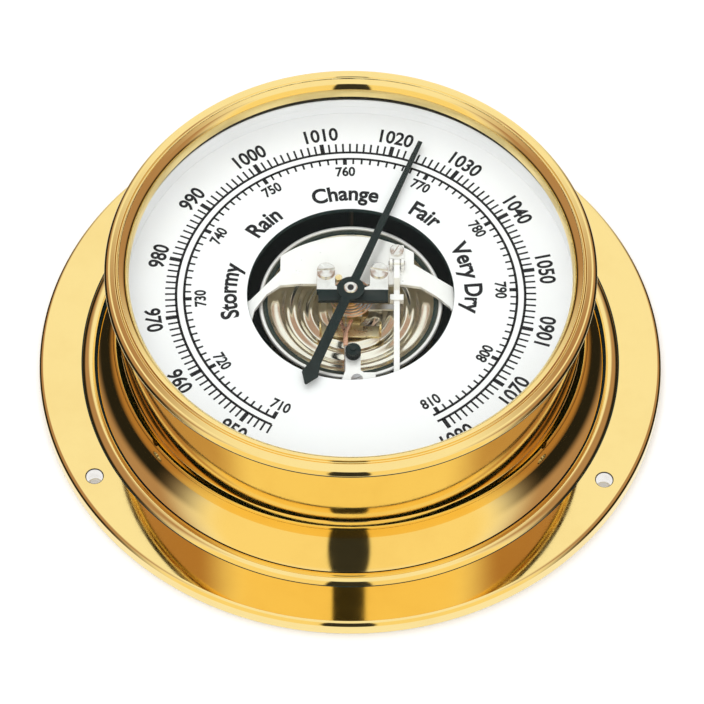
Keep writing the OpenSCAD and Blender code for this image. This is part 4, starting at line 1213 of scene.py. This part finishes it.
@dataclass
class Dial:
    """The white dial with its round window and its print.

    Attributes:
        print_h: Thickness of the ink.
        arc_start: Angle in degrees, clockwise from 12, where the line under the ticks starts.
        arc_end: Angle where it ends.
        numbers: Values that are printed at the outer and at the inner scale.
        flipped: Values whose numbers have their tops towards the middle.
        words: Words of the dial, each with its angle.
        number_wide: Width of the numbers as a share of the font's own.
        word_wide: Width of the words as a share of the font's own.
        cap: Height of a capital letter as a share of the font's size.
    """

    seat: float = Case.dial_seat
    top: float = Case.dial_top
    outer_r: float = Case.disc_r
    window_r: float = 17.9
    print_h: float = 0.02
    arc_start: float = -154.0
    arc_end: float = 150.5
    outer_scale: Scale = Scale(
        "scale_outer", 946, 1080, 1014.25, 2.257, 30.22, 0.44, 1.0, (1.9, 0.34), (2.1, 0.74)
    )
    inner_scale: Scale = Scale(
        "scale_inner", 710, 810, 760.8, 3.017, 28.82, 0.44, -1.0, (1.15, 0.34), (1.3, 0.7)
    )
    numbers: tuple[range, range] = (range(950, 1081, 10), range(710, 811, 10))
    flipped: frozenset[int] = frozenset({950, 960, 970, 1060, 1070, 1080, 710, 720, 800, 810})
    words: tuple[tuple[str, float], ...] = (
        ("Stormy", -89.4), ("Rain", -45.8), ("Change", -2.9), ("Fair", 37.6), ("Very Dry", 80.5),
    )
    number_r: float = 34.4
    number_h: float = 2.75
    small_number_r: float = 26.1
    small_number_h: float = 1.95
    number_wide: float = 0.86
    word_r: float = 21.4
    word_h: float = 3.1
    word_wide: float = 0.92
    cap: float = 0.72

    def plate(self) -> None:
        """Turn the dial plate."""
        corners = section(self.window_r, self.outer_r, self.seat, self.top, 0.1, 0.1, 0.12, 0.12)
        plate = lathe("dial_plate", profile(corners), segments=288)
        dress(plate, Body.CASE, Enamel(), "dial")
        edge, back = self.window_r + 0.05, self.seat + 0.05
        # The window's edge is painted dark as a painted shadow line, and the dial's back is painted dark.
        shaded(plate, DARK_PAINT_AND_SHADE, lambda x, y, z: math.hypot(x, y) < edge or z < back)

    def scale(self, scale: Scale) -> None:
        """Grow the ticks of a scale and the line that carries them, by Geometry Nodes."""
        tree = Growth(scale.name)
        count = tree.size("Tick count", scale.last - scale.first + 1)
        first = tree.size("First angle", math.radians(scale.angle(scale.first)))
        step = tree.size("Step angle", math.radians(scale.step))
        phase = tree.size("Phase", float(scale.first % 10))
        line_r, line_w, tick_l, tick_w, tenth_l, tenth_w, height, level = tree.lengths({
            "Line radius": scale.line_r, "Line width": scale.line_w,
            "Tick length": scale.tick[0], "Tick width": scale.tick[1],
            "Tenth length": scale.tenth[0], "Tenth width": scale.tenth[1],
            "Ink height": self.print_h, "Level": self.top + self.print_h / 2,
        })

        index = tree.out("GeometryNodeInputIndex")
        angle = tree.math("MULTIPLY_ADD", index, step, first)
        tenth = tree.math("LESS_THAN", tree.math("MODULO", tree.math("ADD", index, phase), 10.0), 0.5)
        length = tree.math("MULTIPLY_ADD", tenth, tree.math("SUBTRACT", tenth_l, tick_l), tick_l)
        width = tree.math("MULTIPLY_ADD", tenth, tree.math("SUBTRACT", tenth_w, tick_w), tick_w)
        radius = tree.math("MULTIPLY_ADD", length, 0.5 * scale.side, line_r)
        x = tree.math("MULTIPLY", radius, tree.math("SINE", angle))
        y = tree.math("MULTIPLY", radius, tree.math("COSINE", angle))
        points = tree.row(count, tree.vector(x, y, level))
        box = tree.out("GeometryNodeMeshCube", {"Size": (1.0, 1.0, 1.0)})
        turn = tree.turned(z=tree.math("MULTIPLY", angle, -1.0))
        ticks = tree.copies(points, box, turn, tree.vector(width, length, height))

        start = tree.size("Line start", math.radians(90 - self.arc_start))
        bend = tree.size("Line sweep", math.radians(self.arc_start - self.arc_end))
        inputs = {"Resolution": 240, "Radius": line_r, "Start Angle": start, "Sweep Angle": bend}
        carrier = tree.out("GeometryNodeCurveArc", inputs)
        swept = tree.strip(carrier, line_w, height)
        raised = tree.out("GeometryNodeTransform", {"Geometry": swept, "Translation": tree.vector(z=level)})
        both = tree.add("GeometryNodeJoinGeometry")
        for part in (raised, ticks):
            tree.tree.links.new(part, both.inputs[0])
        piece = tree.bake(scale.name, both.outputs[0], Ink().build())
        dress(piece, Body.CASE, Ink())

    def labels(self) -> list[Label]:
        """Return every number and word of the dial."""
        found = []
        for scale, values, radius, height, weight in (
            (self.outer_scale, self.numbers[0], self.number_r, self.number_h, 0.09),
            (self.inner_scale, self.numbers[1], self.small_number_r, self.small_number_h, 0.08),
        ):
            for value in values:
                facing = Facing.INWARD if value in self.flipped else Facing.OUTWARD
                angle = scale.angle(value)
                found.append(Label(str(value), angle, radius, height, facing, weight, self.number_wide))
        for text, angle in self.words:
            found.append(Label(text, angle, self.word_r, self.word_h, Facing.OUTWARD, 0.12, self.word_wide))
        return found

    def lettering(self, label: Label) -> Object:
        """Return a label as closed letters of raised ink, bent round the dial's centre."""
        text = bpy.data.curves.new("lettering", "FONT")
        text.body, text.size, text.align_x = label.text, 1.0, "CENTER"
        text.resolution_u, text.extrude, text.offset = 5, 0.01, label.weight / label.height * self.cap
        letters = baked(new_object("lettering", text), "lettering_mesh")
        co = np.array([v.co for v in letters.data.vertices], float).reshape(-1, 3)
        cap, side = self.cap, label.facing.value
        x, y = co[:, 0] * label.height / cap * label.width, (co[:, 1] - cap / 2) * label.height / cap
        angle = math.radians(label.angle) + side * x / label.radius
        radius = label.radius + side * y
        z = self.top + self.print_h * (0.5 + np.sign(co[:, 2]) * 0.5)
        placed = np.stack([radius * np.sin(angle), radius * np.cos(angle), z], -1) * MM
        letters.data.vertices.foreach_set("co", placed.astype(np.float32).ravel())
        letters.data.update()
        return letters

    def build(self) -> None:
        """Build the dial plate and its print."""
        self.plate()
        for scale in (self.outer_scale, self.inner_scale):
            self.scale(scale)
        words = joined("dial_lettering", [self.lettering(label) for label in self.labels()])
        smooth(words.data, 30)
        dress(words, Body.CASE, Ink())


@dataclass
class Capsule:
    """The aneroid capsule with its corrugated diaphragm, post, stud and saddle."""

    centre: Point2 = (0.0, 0.6)
    side_r: float = 15.3
    rim_r: float = 16.0
    rim_low: float = 18.6
    rim_top: float = 19.2
    sheet: float = 0.3
    low: float = 12.4
    post_r: float = 5.0
    shoulder: float = 0.8
    dish_low: float = 16.1
    wave_start: float = 3.2
    wave_end: float = 14.7
    wave_h: float = 0.36
    wave_count: int = 4

    def shell(self) -> None:
        """Turn the dished shell."""
        s, t = self.shoulder, self.sheet
        corners = [
            (0, self.low, 0), (self.post_r, self.low, 0.2), (self.post_r + s, self.low + s, 0.2),
            (self.side_r - s, self.low + s, 0.4), (self.side_r, self.low + 2 * s, 0.4),
            (self.side_r, self.rim_low - t, 0), (self.rim_r, self.rim_low - t, 0.1),
            (self.rim_r, self.rim_low, 0.05), (self.side_r - t, self.rim_low, 0),
            (self.side_r - t, self.low + 2 * s + t, 0.2), (self.side_r - s - t, self.low + s + t, 0.2),
            (self.post_r + s, self.low + s + t, 0.1), (self.post_r, self.low + t, 0.1), (0, self.low + t, 0),
        ]
        cup = lathe("capsule_cup", profile(corners, 0.05), self.centre, 192)
        dress(cup, Body.CASE, CAPSULE_SHEET, "capsule_shell")

    def rim(self) -> None:
        """Turn the folded rim as a round bead."""
        corners = section(self.side_r, self.rim_r, self.rim_low, self.rim_top, 0.12, 0.15, 0.27, 0.27)
        bead = lathe("capsule_bead", profile(corners, 0.05), self.centre, 224)
        dress(bead, Body.CASE, NICKEL, "capsule_rim")

    def dish(self, radius: float) -> float:
        """Return the height of the diaphragm's middle sheet at a radius."""
        part = (radius - self.wave_start) / (self.wave_end - self.wave_start)
        rise = (self.rim_low + self.sheet / 2 - self.dish_low) * max(part, 0) ** 3
        wave = self.wave_h * math.sin(2 * math.pi * self.wave_count * part) * math.sin(math.pi * part)
        return self.dish_low + rise + wave

    def diaphragm(self) -> None:
        """Turn the corrugated diaphragm, from the capsule's rim to its centre, as one fixed piece."""
        radii = np.linspace(self.wave_start, self.wave_end, 22 * self.wave_count + 1)
        upper = [(r, self.dish(r) + self.sheet / 2) for r in radii]
        upper.append((self.side_r, self.rim_low + self.sheet))
        lower = [(r, z - self.sheet) for r, z in reversed(upper)]
        piece = lathe("corrugated_diaphragm", upper + lower, self.centre, 224, sharp=50)
        piece.data.materials.append(WAVED_SHEET.build())
        # The diaphragm's outer edge beside the rim is painted dark as painted shade in the groove.
        shaded(piece, DARK_PAINT_AND_SHADE, lambda x, y, z: math.dist((x, y), self.centre) > self.wave_end - 0.3)
        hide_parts("capsule_diaphragm")
        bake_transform(piece)
        LOG.info("%s: %d faces, from case to capsule_centre", piece.name, len(piece.data.polygons))

    def build(self) -> None:
        """Build the capsule and what carries it."""
        self.shell()
        self.rim()
        self.diaphragm()
        dress_softened(Body.CASE, MOVEMENT_BRASS, 0.12, "capsule_post")
        dress_softened(Body.CAPSULE_CENTRE, MOVEMENT_BRASS, 0.06, "capsule_stud")
        dress_softened(Body.CAPSULE_CENTRE, STRAP_BRASS, 0.08, "capsule_saddle")
        dress_softened(Body.ADJUSTER, STEEL, 0.1, "adjusting_screw")


@dataclass
class Movement:
    """The movement's frame: base, pillars, bridge plate, arbor bar and their screws."""

    bridge_top: float = 20.7
    bar_top: float = 22.55
    bar_spots: tuple[Point2, ...] = ((-4.304, 4.504), (4.906, 4.607))
    pillar_spots: tuple[Point2, ...] = ((-19.4, -4.2), (19.4, -0.8))
    back_z: float = Case.back_z
    base_screw_r: float = Case.base_screw_r

    def screws(self) -> None:
        """Set the screws of the base, the bridge and the bar."""
        cheese = SlottedScrew(1.6, 0.6, 0.8, 3.3, 0.42, 0.3)
        spots = [(*spot, self.bar_top) for spot in self.bar_spots]
        cheese.set_at("bar_screws_slotted", spots, [(0, 0, 4), (0, 0, -12)], SCREW_NICKEL, "bar_screws")
        spots = [(*spot, self.bridge_top) for spot in self.pillar_spots]
        cheese.set_at("bridge_screws_slotted", spots, [(0, 0, 30), (0, 0, -40)], STEEL, "bridge_screws")
        sunk = SlottedScrew(1.6, 0, 0.8, 2.7, 0.48, 0.25, sunk=True)
        spots = [(*polar(self.base_screw_r, angle), self.back_z) for angle in (0, 120, 240)]
        sunk.set_at("base_screws_slotted", spots, [(180, 0, a) for a in (20, 75, 140)], STEEL, "base_screws")

    def build(self) -> None:
        """Build the frame."""
        dress_softened(Body.CASE, DARK_PAINT_AND_SHADE, 0.15, "movement_base")
        dress_softened(Body.CASE, MOVEMENT_BRASS, 0.1, "bridge_pillars", "bar_posts")
        dress_softened(Body.CASE, NICKEL, 0.09, "bridge_plate")
        bar = parted(softened("arbor_bar", 0.1), (0, 1, 0), 0.7)
        dress(bar, Body.CASE, BLACK_LACQUER, "arbor_bar")
        shaded(bar, SCREW_NICKEL, lambda x, y, z: y > 0.7 and abs(x) > 2.4)
        self.screws()


@dataclass
class PointerGroup:
    """The pointer on its arbor, with the hairspring that holds it back."""

    bar_top: float = Movement.bar_top
    pointer_low: float = 23.7
    pointer_top: float = 24.05
    collar_r: float = 1.2
    arbor_r: float = 0.45
    spring_z: float = 20.95
    spring_h: float = 0.4
    spring_t: float = 0.12
    spring_r: float = 1.45
    spring_step: float = 0.6
    spring_turns: float = 4.3
    spring_end: float = 118.0

    def hub(self) -> None:
        """Turn the collars under and over the pointer, the upper one dished."""
        r, a = self.collar_r, self.arbor_r
        low = section(a, r, self.bar_top + 0.25, self.pointer_low, 0.05, 0.05, 0.05, 0.05)
        lower = lathe("collar", profile(low, 0.03), segments=72)
        top = self.pointer_top
        crown = [
            (a, top, 0), (r, top, 0.04), (r, top + 0.2, 0.1), (r - 0.2, top + 0.35, 0.08),
            (a + 0.12, top + 0.28, 0.05), (a, top + 0.24, 0),
        ]
        upper = lathe("crown", profile(crown, 0.03), segments=72)
        dress(joined("hub_collars", [lower, upper]), Body.POINTER, SCREW_NICKEL, "pointer_hub")

    def hairspring(self) -> None:
        """Grow the hairspring as one flat spiral of strip, by Geometry Nodes."""
        tree = Growth("hairspring_spiral")
        turns = tree.size("Turns", self.spring_turns)
        inner, step, thick, high, level = tree.lengths({
            "Inner radius": self.spring_r, "Step of a turn": self.spring_step,
            "Strip thickness": self.spring_t, "Strip height": self.spring_h,
            "Level": self.spring_z + self.spring_h / 2,
        })
        end = tree.size("End angle", math.radians(self.spring_end))
        outer = tree.math("MULTIPLY_ADD", turns, step, inner)
        inputs = {
            "Resolution": 96, "Rotations": turns, "Start Radius": inner, "End Radius": outer, "Height": 0.0,
        }
        spiral = tree.out("GeometryNodeCurveSpiral", inputs)
        coil = tree.strip(spiral, thick, high)
        turn = tree.turned(z=tree.math("MULTIPLY_ADD", turns, -2 * math.pi, end))
        inputs = {"Geometry": coil, "Rotation": turn, "Translation": tree.vector(z=level)}
        set_down = tree.out("GeometryNodeTransform", inputs)
        piece = tree.bake("hairspring_coil", set_down, COPPER.build())
        smooth(piece.data, 40)
        dress(piece, Body.CASE, COPPER, "hairspring")

    def build(self) -> None:
        """Build what turns with the pointer, and the hairspring."""
        dress_softened(Body.POINTER, BLACK_LACQUER, 0.07, "pointer")
        self.hub()
        dress_softened(Body.POINTER, BLACKED_STEEL, 0.04, "arbor")
        dress_softened(Body.POINTER, MOVEMENT_BRASS, 0.03, "chain_drum", "hairspring_collet")
        dress_softened(Body.CASE, MOVEMENT_BRASS, 0.04, "hairspring_stud")
        self.hairspring()


@dataclass
class LeverTrain:
    """The levers that carry the capsule's movement to the chain."""

    lever_x: float = 8.006
    lever_screw_y: float = 9.9
    bracket_top: float = 21.2
    foot_screw_x: tuple[float, ...] = (-0.6, 8.006)
    foot_screw_y: float = -19.74
    foot_top: float = 4.4

    def screws(self) -> None:
        """Set the screws of the lever bracket and the rocker bracket."""
        small = SlottedScrew(1.2, 0.5, 0.8, 1.2, 0.32, 0.25)
        spots = [(self.lever_x, self.lever_screw_y, self.bracket_top)]
        small.set_at("lever_screw_slotted", spots, [(0, 0, 60)], SCREW_NICKEL, "lever_bracket_screw")
        low = SlottedScrew(1.2, 0.6, 0.8, 0.8, 0.32, 0.3)
        spots = [(x, self.foot_screw_y, self.foot_top) for x in self.foot_screw_x]
        low.set_at("foot_screws_slotted", spots, [(0, 0, 15), (0, 0, 80)], STEEL, "bracket_screws")

    def build(self) -> None:
        """Build the lever train."""
        dress_softened(Body.CASE, NICKEL, 0.06, "lever_bracket", "rocker_bracket")
        dress_softened(Body.CASE, STEEL, 0.05, "lever_pin")
        dress_softened(Body.LEVERS, NICKEL, 0.08, "main_lever", "lever_collar")
        dress_softened(Body.LEVERS, STEEL, 0.05, "lever_yoke")
        dress_softened(Body.PUSH_ROD, STEEL, 0.05, "push_rod")
        dress_softened(Body.ROCKER, STEEL, 0.06, "rocker_shaft", "rocker_arm", "rocker_crank")
        self.screws()


@dataclass
class ChainDrive:
    """The fine chain from the arbor to the rocker, with its copper yoke and its rod."""

    x: float = -0.82
    z: float = 20.0
    length: float = 5.5
    links: int = 7
    wire: float = 0.075
    width: float = 0.36
    bends: int = 16
    wire_faces: int = 6

    def link(self) -> Object:
        """Return one link: a round wire bent into a long ring that lies flat along Y."""
        half = self.length / self.links / 2 + self.wire * 0.6
        bend = self.width / 2 - self.wire
        straight = half - bend - self.wire
        angles = np.linspace(0, 2 * math.pi, self.bends, endpoint=False) + math.pi / self.bends
        path = [
            (bend * math.cos(a), math.copysign(straight, math.sin(a)) + bend * math.sin(a)) for a in angles
        ]
        ring, points = self.wire_faces, []
        for i, (x, y) in enumerate(path):
            before, after = Vector(path[i - 1]), Vector(path[(i + 1) % len(path)])
            along = (after - before).normalized()
            out = Vector((along.y, -along.x))
            for k in range(ring):
                a = 2 * math.pi * k / ring
                sideways = (c + o * self.wire * math.cos(a) for c, o in zip((x, y), out))
                points.append((*sideways, self.wire * math.sin(a)))
        count = len(path)
        faces = [
            (i * ring + k, i * ring + m, j * ring + m, j * ring + k)
            for i, j in ((i, (i + 1) % count) for i in range(count))
            for k, m in ((k, (k + 1) % ring) for k in range(ring))
        ]
        return solid("link", points, faces, 60)

    def chain(self) -> None:
        """Grow the chain as links that lie flat and stand upright in turn, by Geometry Nodes."""
        shape = self.link()
        tree = Growth("chain_links")
        source = tree.shape("Link", shape)
        count = tree.size("Link count", self.links)
        sizes = {"Pitch": self.length / self.links, "Place across": self.x, "Level": self.z - 0.02}
        pitch, across, level = tree.lengths(sizes)
        index = tree.out("GeometryNodeInputIndex")
        along = tree.math("MULTIPLY", tree.math("ADD", index, 0.5), tree.math("MULTIPLY", pitch, -1.0))
        points = tree.row(count, tree.vector(across, along, level))
        turn = tree.turned(y=tree.math("MULTIPLY", tree.math("MODULO", index, 2.0), math.pi / 2))
        piece = tree.bake("chain_of_links", tree.copies(points, source, turn), STEEL.build())
        bpy.data.objects.remove(shape)
        dress(piece, Body.CHAIN, STEEL, "chain")

    def build(self) -> None:
        """Build the chain, its yoke and its rod."""
        self.chain()
        dress_softened(Body.CHAIN, COPPER, 0.06, "chain_yoke")
        dress_softened(Body.CHAIN, STEEL, 0.04, "chain_rod")


@dataclass
class Regulator:
    """The pale plate at 6 o'clock in the window, with its screw and its black knurled nut."""

    plate_top: float = 21.05
    screw_at: Point2 = (1.2, -16.9)
    nut_at: Point2 = (0.5, -11.8)
    nut_r: float = 1.35
    collar_h: float = 0.7
    neck_h: float = 0.3
    stem_r: float = 0.5
    ridges: int = 22
    ridge_r: float = 0.13

    def nut(self) -> None:
        """Turn the nut, and grow the ridges of its two collars by Geometry Nodes."""
        low, h, stem = self.plate_top, self.collar_h, self.stem_r
        core, neck = self.nut_r - 0.1, self.nut_r - 0.25
        mid, top = low + h + self.neck_h, low + 2 * h + self.neck_h
        corners = [
            (0, low - 0.5, 0), (stem, low - 0.5, 0), (stem, low, 0), (core, low, 0.06), (core, low + h, 0.06),
            (neck, low + h, 0), (neck, mid, 0), (core, mid, 0.06), (core, top, 0.14), (stem + 0.1, top, 0),
            (stem, top, 0), (stem, top + 0.2, 0.08), (0, top + 0.2, 0),
        ]
        body = lathe("nut_core", profile(corners, 0.03), self.nut_at, 72)
        dress(body, Body.CASE, BLACK_LACQUER, "regulator_nut")
        corners = section(0, self.ridge_r, 0.05, h - 0.05, 0, 0.04, 0.04, 0)
        ridge = lathe("ridge", profile(corners, 0.05), segments=8)
        (x, y), circle, spots = self.nut_at, self.nut_r - self.ridge_r, []
        for z in (low, mid):
            for k in range(self.ridges):
                a = 2 * math.pi * k / self.ridges
                spots.append((x + circle * math.cos(a), y + circle * math.sin(a), z))
        knurl = repeated("nut_knurling", ridge, spots, [(0, 0, 0)] * len(spots), BLACK_LACQUER.build())
        dress(knurl, Body.CASE, BLACK_LACQUER)

    def build(self) -> None:
        """Build the regulator."""
        dress_softened(Body.CASE, NICKEL, 0.08, "regulator_plate")
        head = SlottedScrew(1.0, 0.35, 0.8, 1.1, 0.28, 0.2)
        spots = [(*self.screw_at, self.plate_top)]
        head.set_at("regulator_screw_slotted", spots, [(0, 0, 20)], STEEL, "regulator_screw")
        self.nut()


@dataclass
class Studio:
    """The pale floor, the light, the tent that the metal mirrors, and the camera.

    Attributes:
        camera_at: Place of the camera in metres.
        tilt: Angle of the view from straight down in degrees.
        roll: Roll of the camera in degrees.
        lens: Focal length in mm.
        sensor: Width of the sensor in mm.
        clip: Nearest and farthest distance in metres that the camera sees.
        ambient: Strength of the world for diffuse light.
        lamp_size: Size of a lamp in metres.
        lamp_spots: Place in metres and power in watts of each lamp.
        column: Half width and top in degrees of the dark place where the camera stands.
        column_blur: Half width in degrees of the blur at its sides and at its top.
        sides: Where the tent's open sides begin and end, in degrees from the front.
        sides_blur: Half width of the blur at each of these.
        side_tops: Heights in degrees up to which the sides are black and brown.
        tops_blur: Half width of the blur at each of these.
        front_blur: Half width of the blur between the warm front and the sides.
        front_top: Height in degrees up to which the front is warm.
        front_top_blur: Half width of the blur there.
        ground: Height in degrees under which the tent is white again.
        ground_blur: Half width of the blur there.
        warm: Colour of the front below that height.
        brown: Colour of the room beside the tent.
        black: Colour of the room low beside the tent.
        dark: Colour of the place where the camera stands.
        floor: Half width and height of the floor in metres.
    """

    camera_at: Point3 = (0.0003, -0.4128, 0.62295)
    tilt: float = 33.704
    roll: float = 0.385
    lens: float = 215.2
    sensor: float = 36.0
    clip: Point2 = (0.01, 20.0)
    ambient: float = 0.76
    lamp_size: float = 0.9
    lamp_spots: tuple[tuple[Point3, float], ...] = (((-0.15, 0.25, 1.0), 4.3), ((0.0, -0.82, 0.7), 3.4))
    column: Point2 = (7.8, 58.0)
    column_blur: Point2 = (0.8, 2.0)
    sides: Point2 = (66.0, 148.0)
    sides_blur: Point2 = (14.0, 12.0)
    side_tops: Point2 = (17.0, 66.0)
    tops_blur: Point2 = (8.0, 10.0)
    front_blur: float = 10.0
    front_top: float = 54.0
    front_top_blur: float = 6.0
    ground: float = -42.0
    ground_blur: float = 4.0
    warm: Colour = (1.0, 0.85, 0.5)
    brown: Colour = (0.46, 0.29, 0.21)
    black: Colour = (0.02, 0.018, 0.016)
    dark: Colour = (0.035, 0.035, 0.035)
    floor: Point2 = (4.0, -0.0002)

    def camera(self) -> None:
        """Set the camera at the photograph's angle."""
        data = bpy.data.cameras.new("camera")
        data.lens, data.sensor_width = self.lens, self.sensor
        data.clip_start, data.clip_end = self.clip
        camera = new_object("camera", data)
        tilt, roll = math.radians(self.tilt), math.radians(self.roll)
        turn = Matrix.Rotation(tilt, 4, "X") @ Matrix.Rotation(roll, 4, "Z")
        camera.matrix_world = Matrix.Translation(self.camera_at) @ turn
        bpy.context.scene.camera = camera

    def tent(self, graph: Graph) -> Socket:
        """Return the colour of the tent that polished metal mirrors, by direction."""
        direction = graph.add("ShaderNodeTexCoord").outputs["Generated"]
        way = graph.add("ShaderNodeSeparateXYZ", {0: direction}).outputs
        degrees = 180 / math.pi
        height = graph.math("MULTIPLY", graph.math("ARCSINE", way[2]), degrees)
        across, ahead = graph.math("ABSOLUTE", way[0]), graph.math("MULTIPLY", way[1], -1.0)
        turn = graph.math("MULTIPLY", graph.math("ARCTAN2", across, ahead), degrees)
        width, top = self.column
        beside, over = self.column_blur
        past_column = graph.math("MAXIMUM", graph.past(turn, width, beside), graph.past(height, top, over))
        start = graph.past(turn, self.sides[0], self.sides_blur[0])
        end = graph.past(turn, self.sides[1], -self.sides_blur[1])
        inside = graph.math("MULTIPLY", start, end)
        black, brown = (
            graph.math("MULTIPLY", inside, graph.past(height, side_top, -blur))
            for side_top, blur in zip(self.side_tops, self.tops_blur)
        )
        before = graph.past(turn, self.sides[0] - self.front_blur, -self.front_blur)
        front = graph.math("MULTIPLY", before, graph.past(height, self.front_top, -self.front_top_blur))
        colour = graph.mix(brown, graph.mix(front, WHITE, self.warm), self.brown)
        colour = graph.mix(past_column, self.dark, graph.mix(black, colour, self.black))
        return graph.mix(graph.past(height, self.ground, -self.ground_blur), colour, WHITE)

    def world(self) -> None:
        """Make a white surround, with the tent for metal and glass and a softer strength for the light."""
        world = bpy.data.worlds.new("surround")
        world.use_nodes = True
        world.node_tree.nodes.clear()
        sky = Graph(world.node_tree)
        path = sky.add("ShaderNodeLightPath").outputs
        mirrored = sky.math("MAXIMUM", path["Is Glossy Ray"], path["Is Transmission Ray"])
        seen = sky.math("MAXIMUM", path["Is Camera Ray"], mirrored)
        strength = sky.math("MULTIPLY_ADD", seen, 1 - self.ambient, self.ambient)
        colour = sky.mix(path["Is Glossy Ray"], WHITE, self.tent(sky))
        back = sky.add("ShaderNodeBackground", {"Color": colour, "Strength": strength})
        sky.add("ShaderNodeOutputWorld", {"Surface": back.outputs[0]})
        bpy.context.scene.world = world

    def lamps(self) -> None:
        """Hang the large soft lamps over and before the object; polished metal doesn't mirror them."""
        for place, power in self.lamp_spots:
            data = bpy.data.lights.new("softbox", "AREA")
            data.shape, data.size, data.energy = "SQUARE", self.lamp_size, power
            lamp = new_object("softbox", data)
            lamp.location = place
            lamp.rotation_euler = Vector(place).to_track_quat("Z", "Y").to_euler()
            lamp.visible_glossy = False

    def lay_floor(self) -> None:
        """Lay a wide pale floor."""
        mesh = bpy.data.meshes.new("floor")
        reach, level = self.floor
        corners = [(x * reach, y * reach, level) for x, y in ((-1, -1), (1, -1), (1, 1), (-1, 1))]
        mesh.from_pydata(corners, [], [(0, 1, 2, 3)])
        mesh.materials.append(FloorPaint().build())
        floor = new_object("floor", mesh)
        floor.visible_glossy = False

    def build(self) -> None:
        """Set up the whole studio."""
        bpy.context.scene.view_settings.view_transform = "Standard"
        self.camera()
        self.world()
        self.lamps()
        self.lay_floor()


def main() -> None:
    """Build the studio and the barometer."""
    logging.basicConfig(level=logging.INFO, format="%(name)s: %(message)s")
    kinds = (Studio, Case, Dial, Capsule, Movement, PointerGroup, LeverTrain, ChainDrive, Regulator)
    for part in (kind() for kind in kinds):
        part.build()
        LOG.info("%s is built", type(part).__name__)


if __name__ == "__main__":
    main()
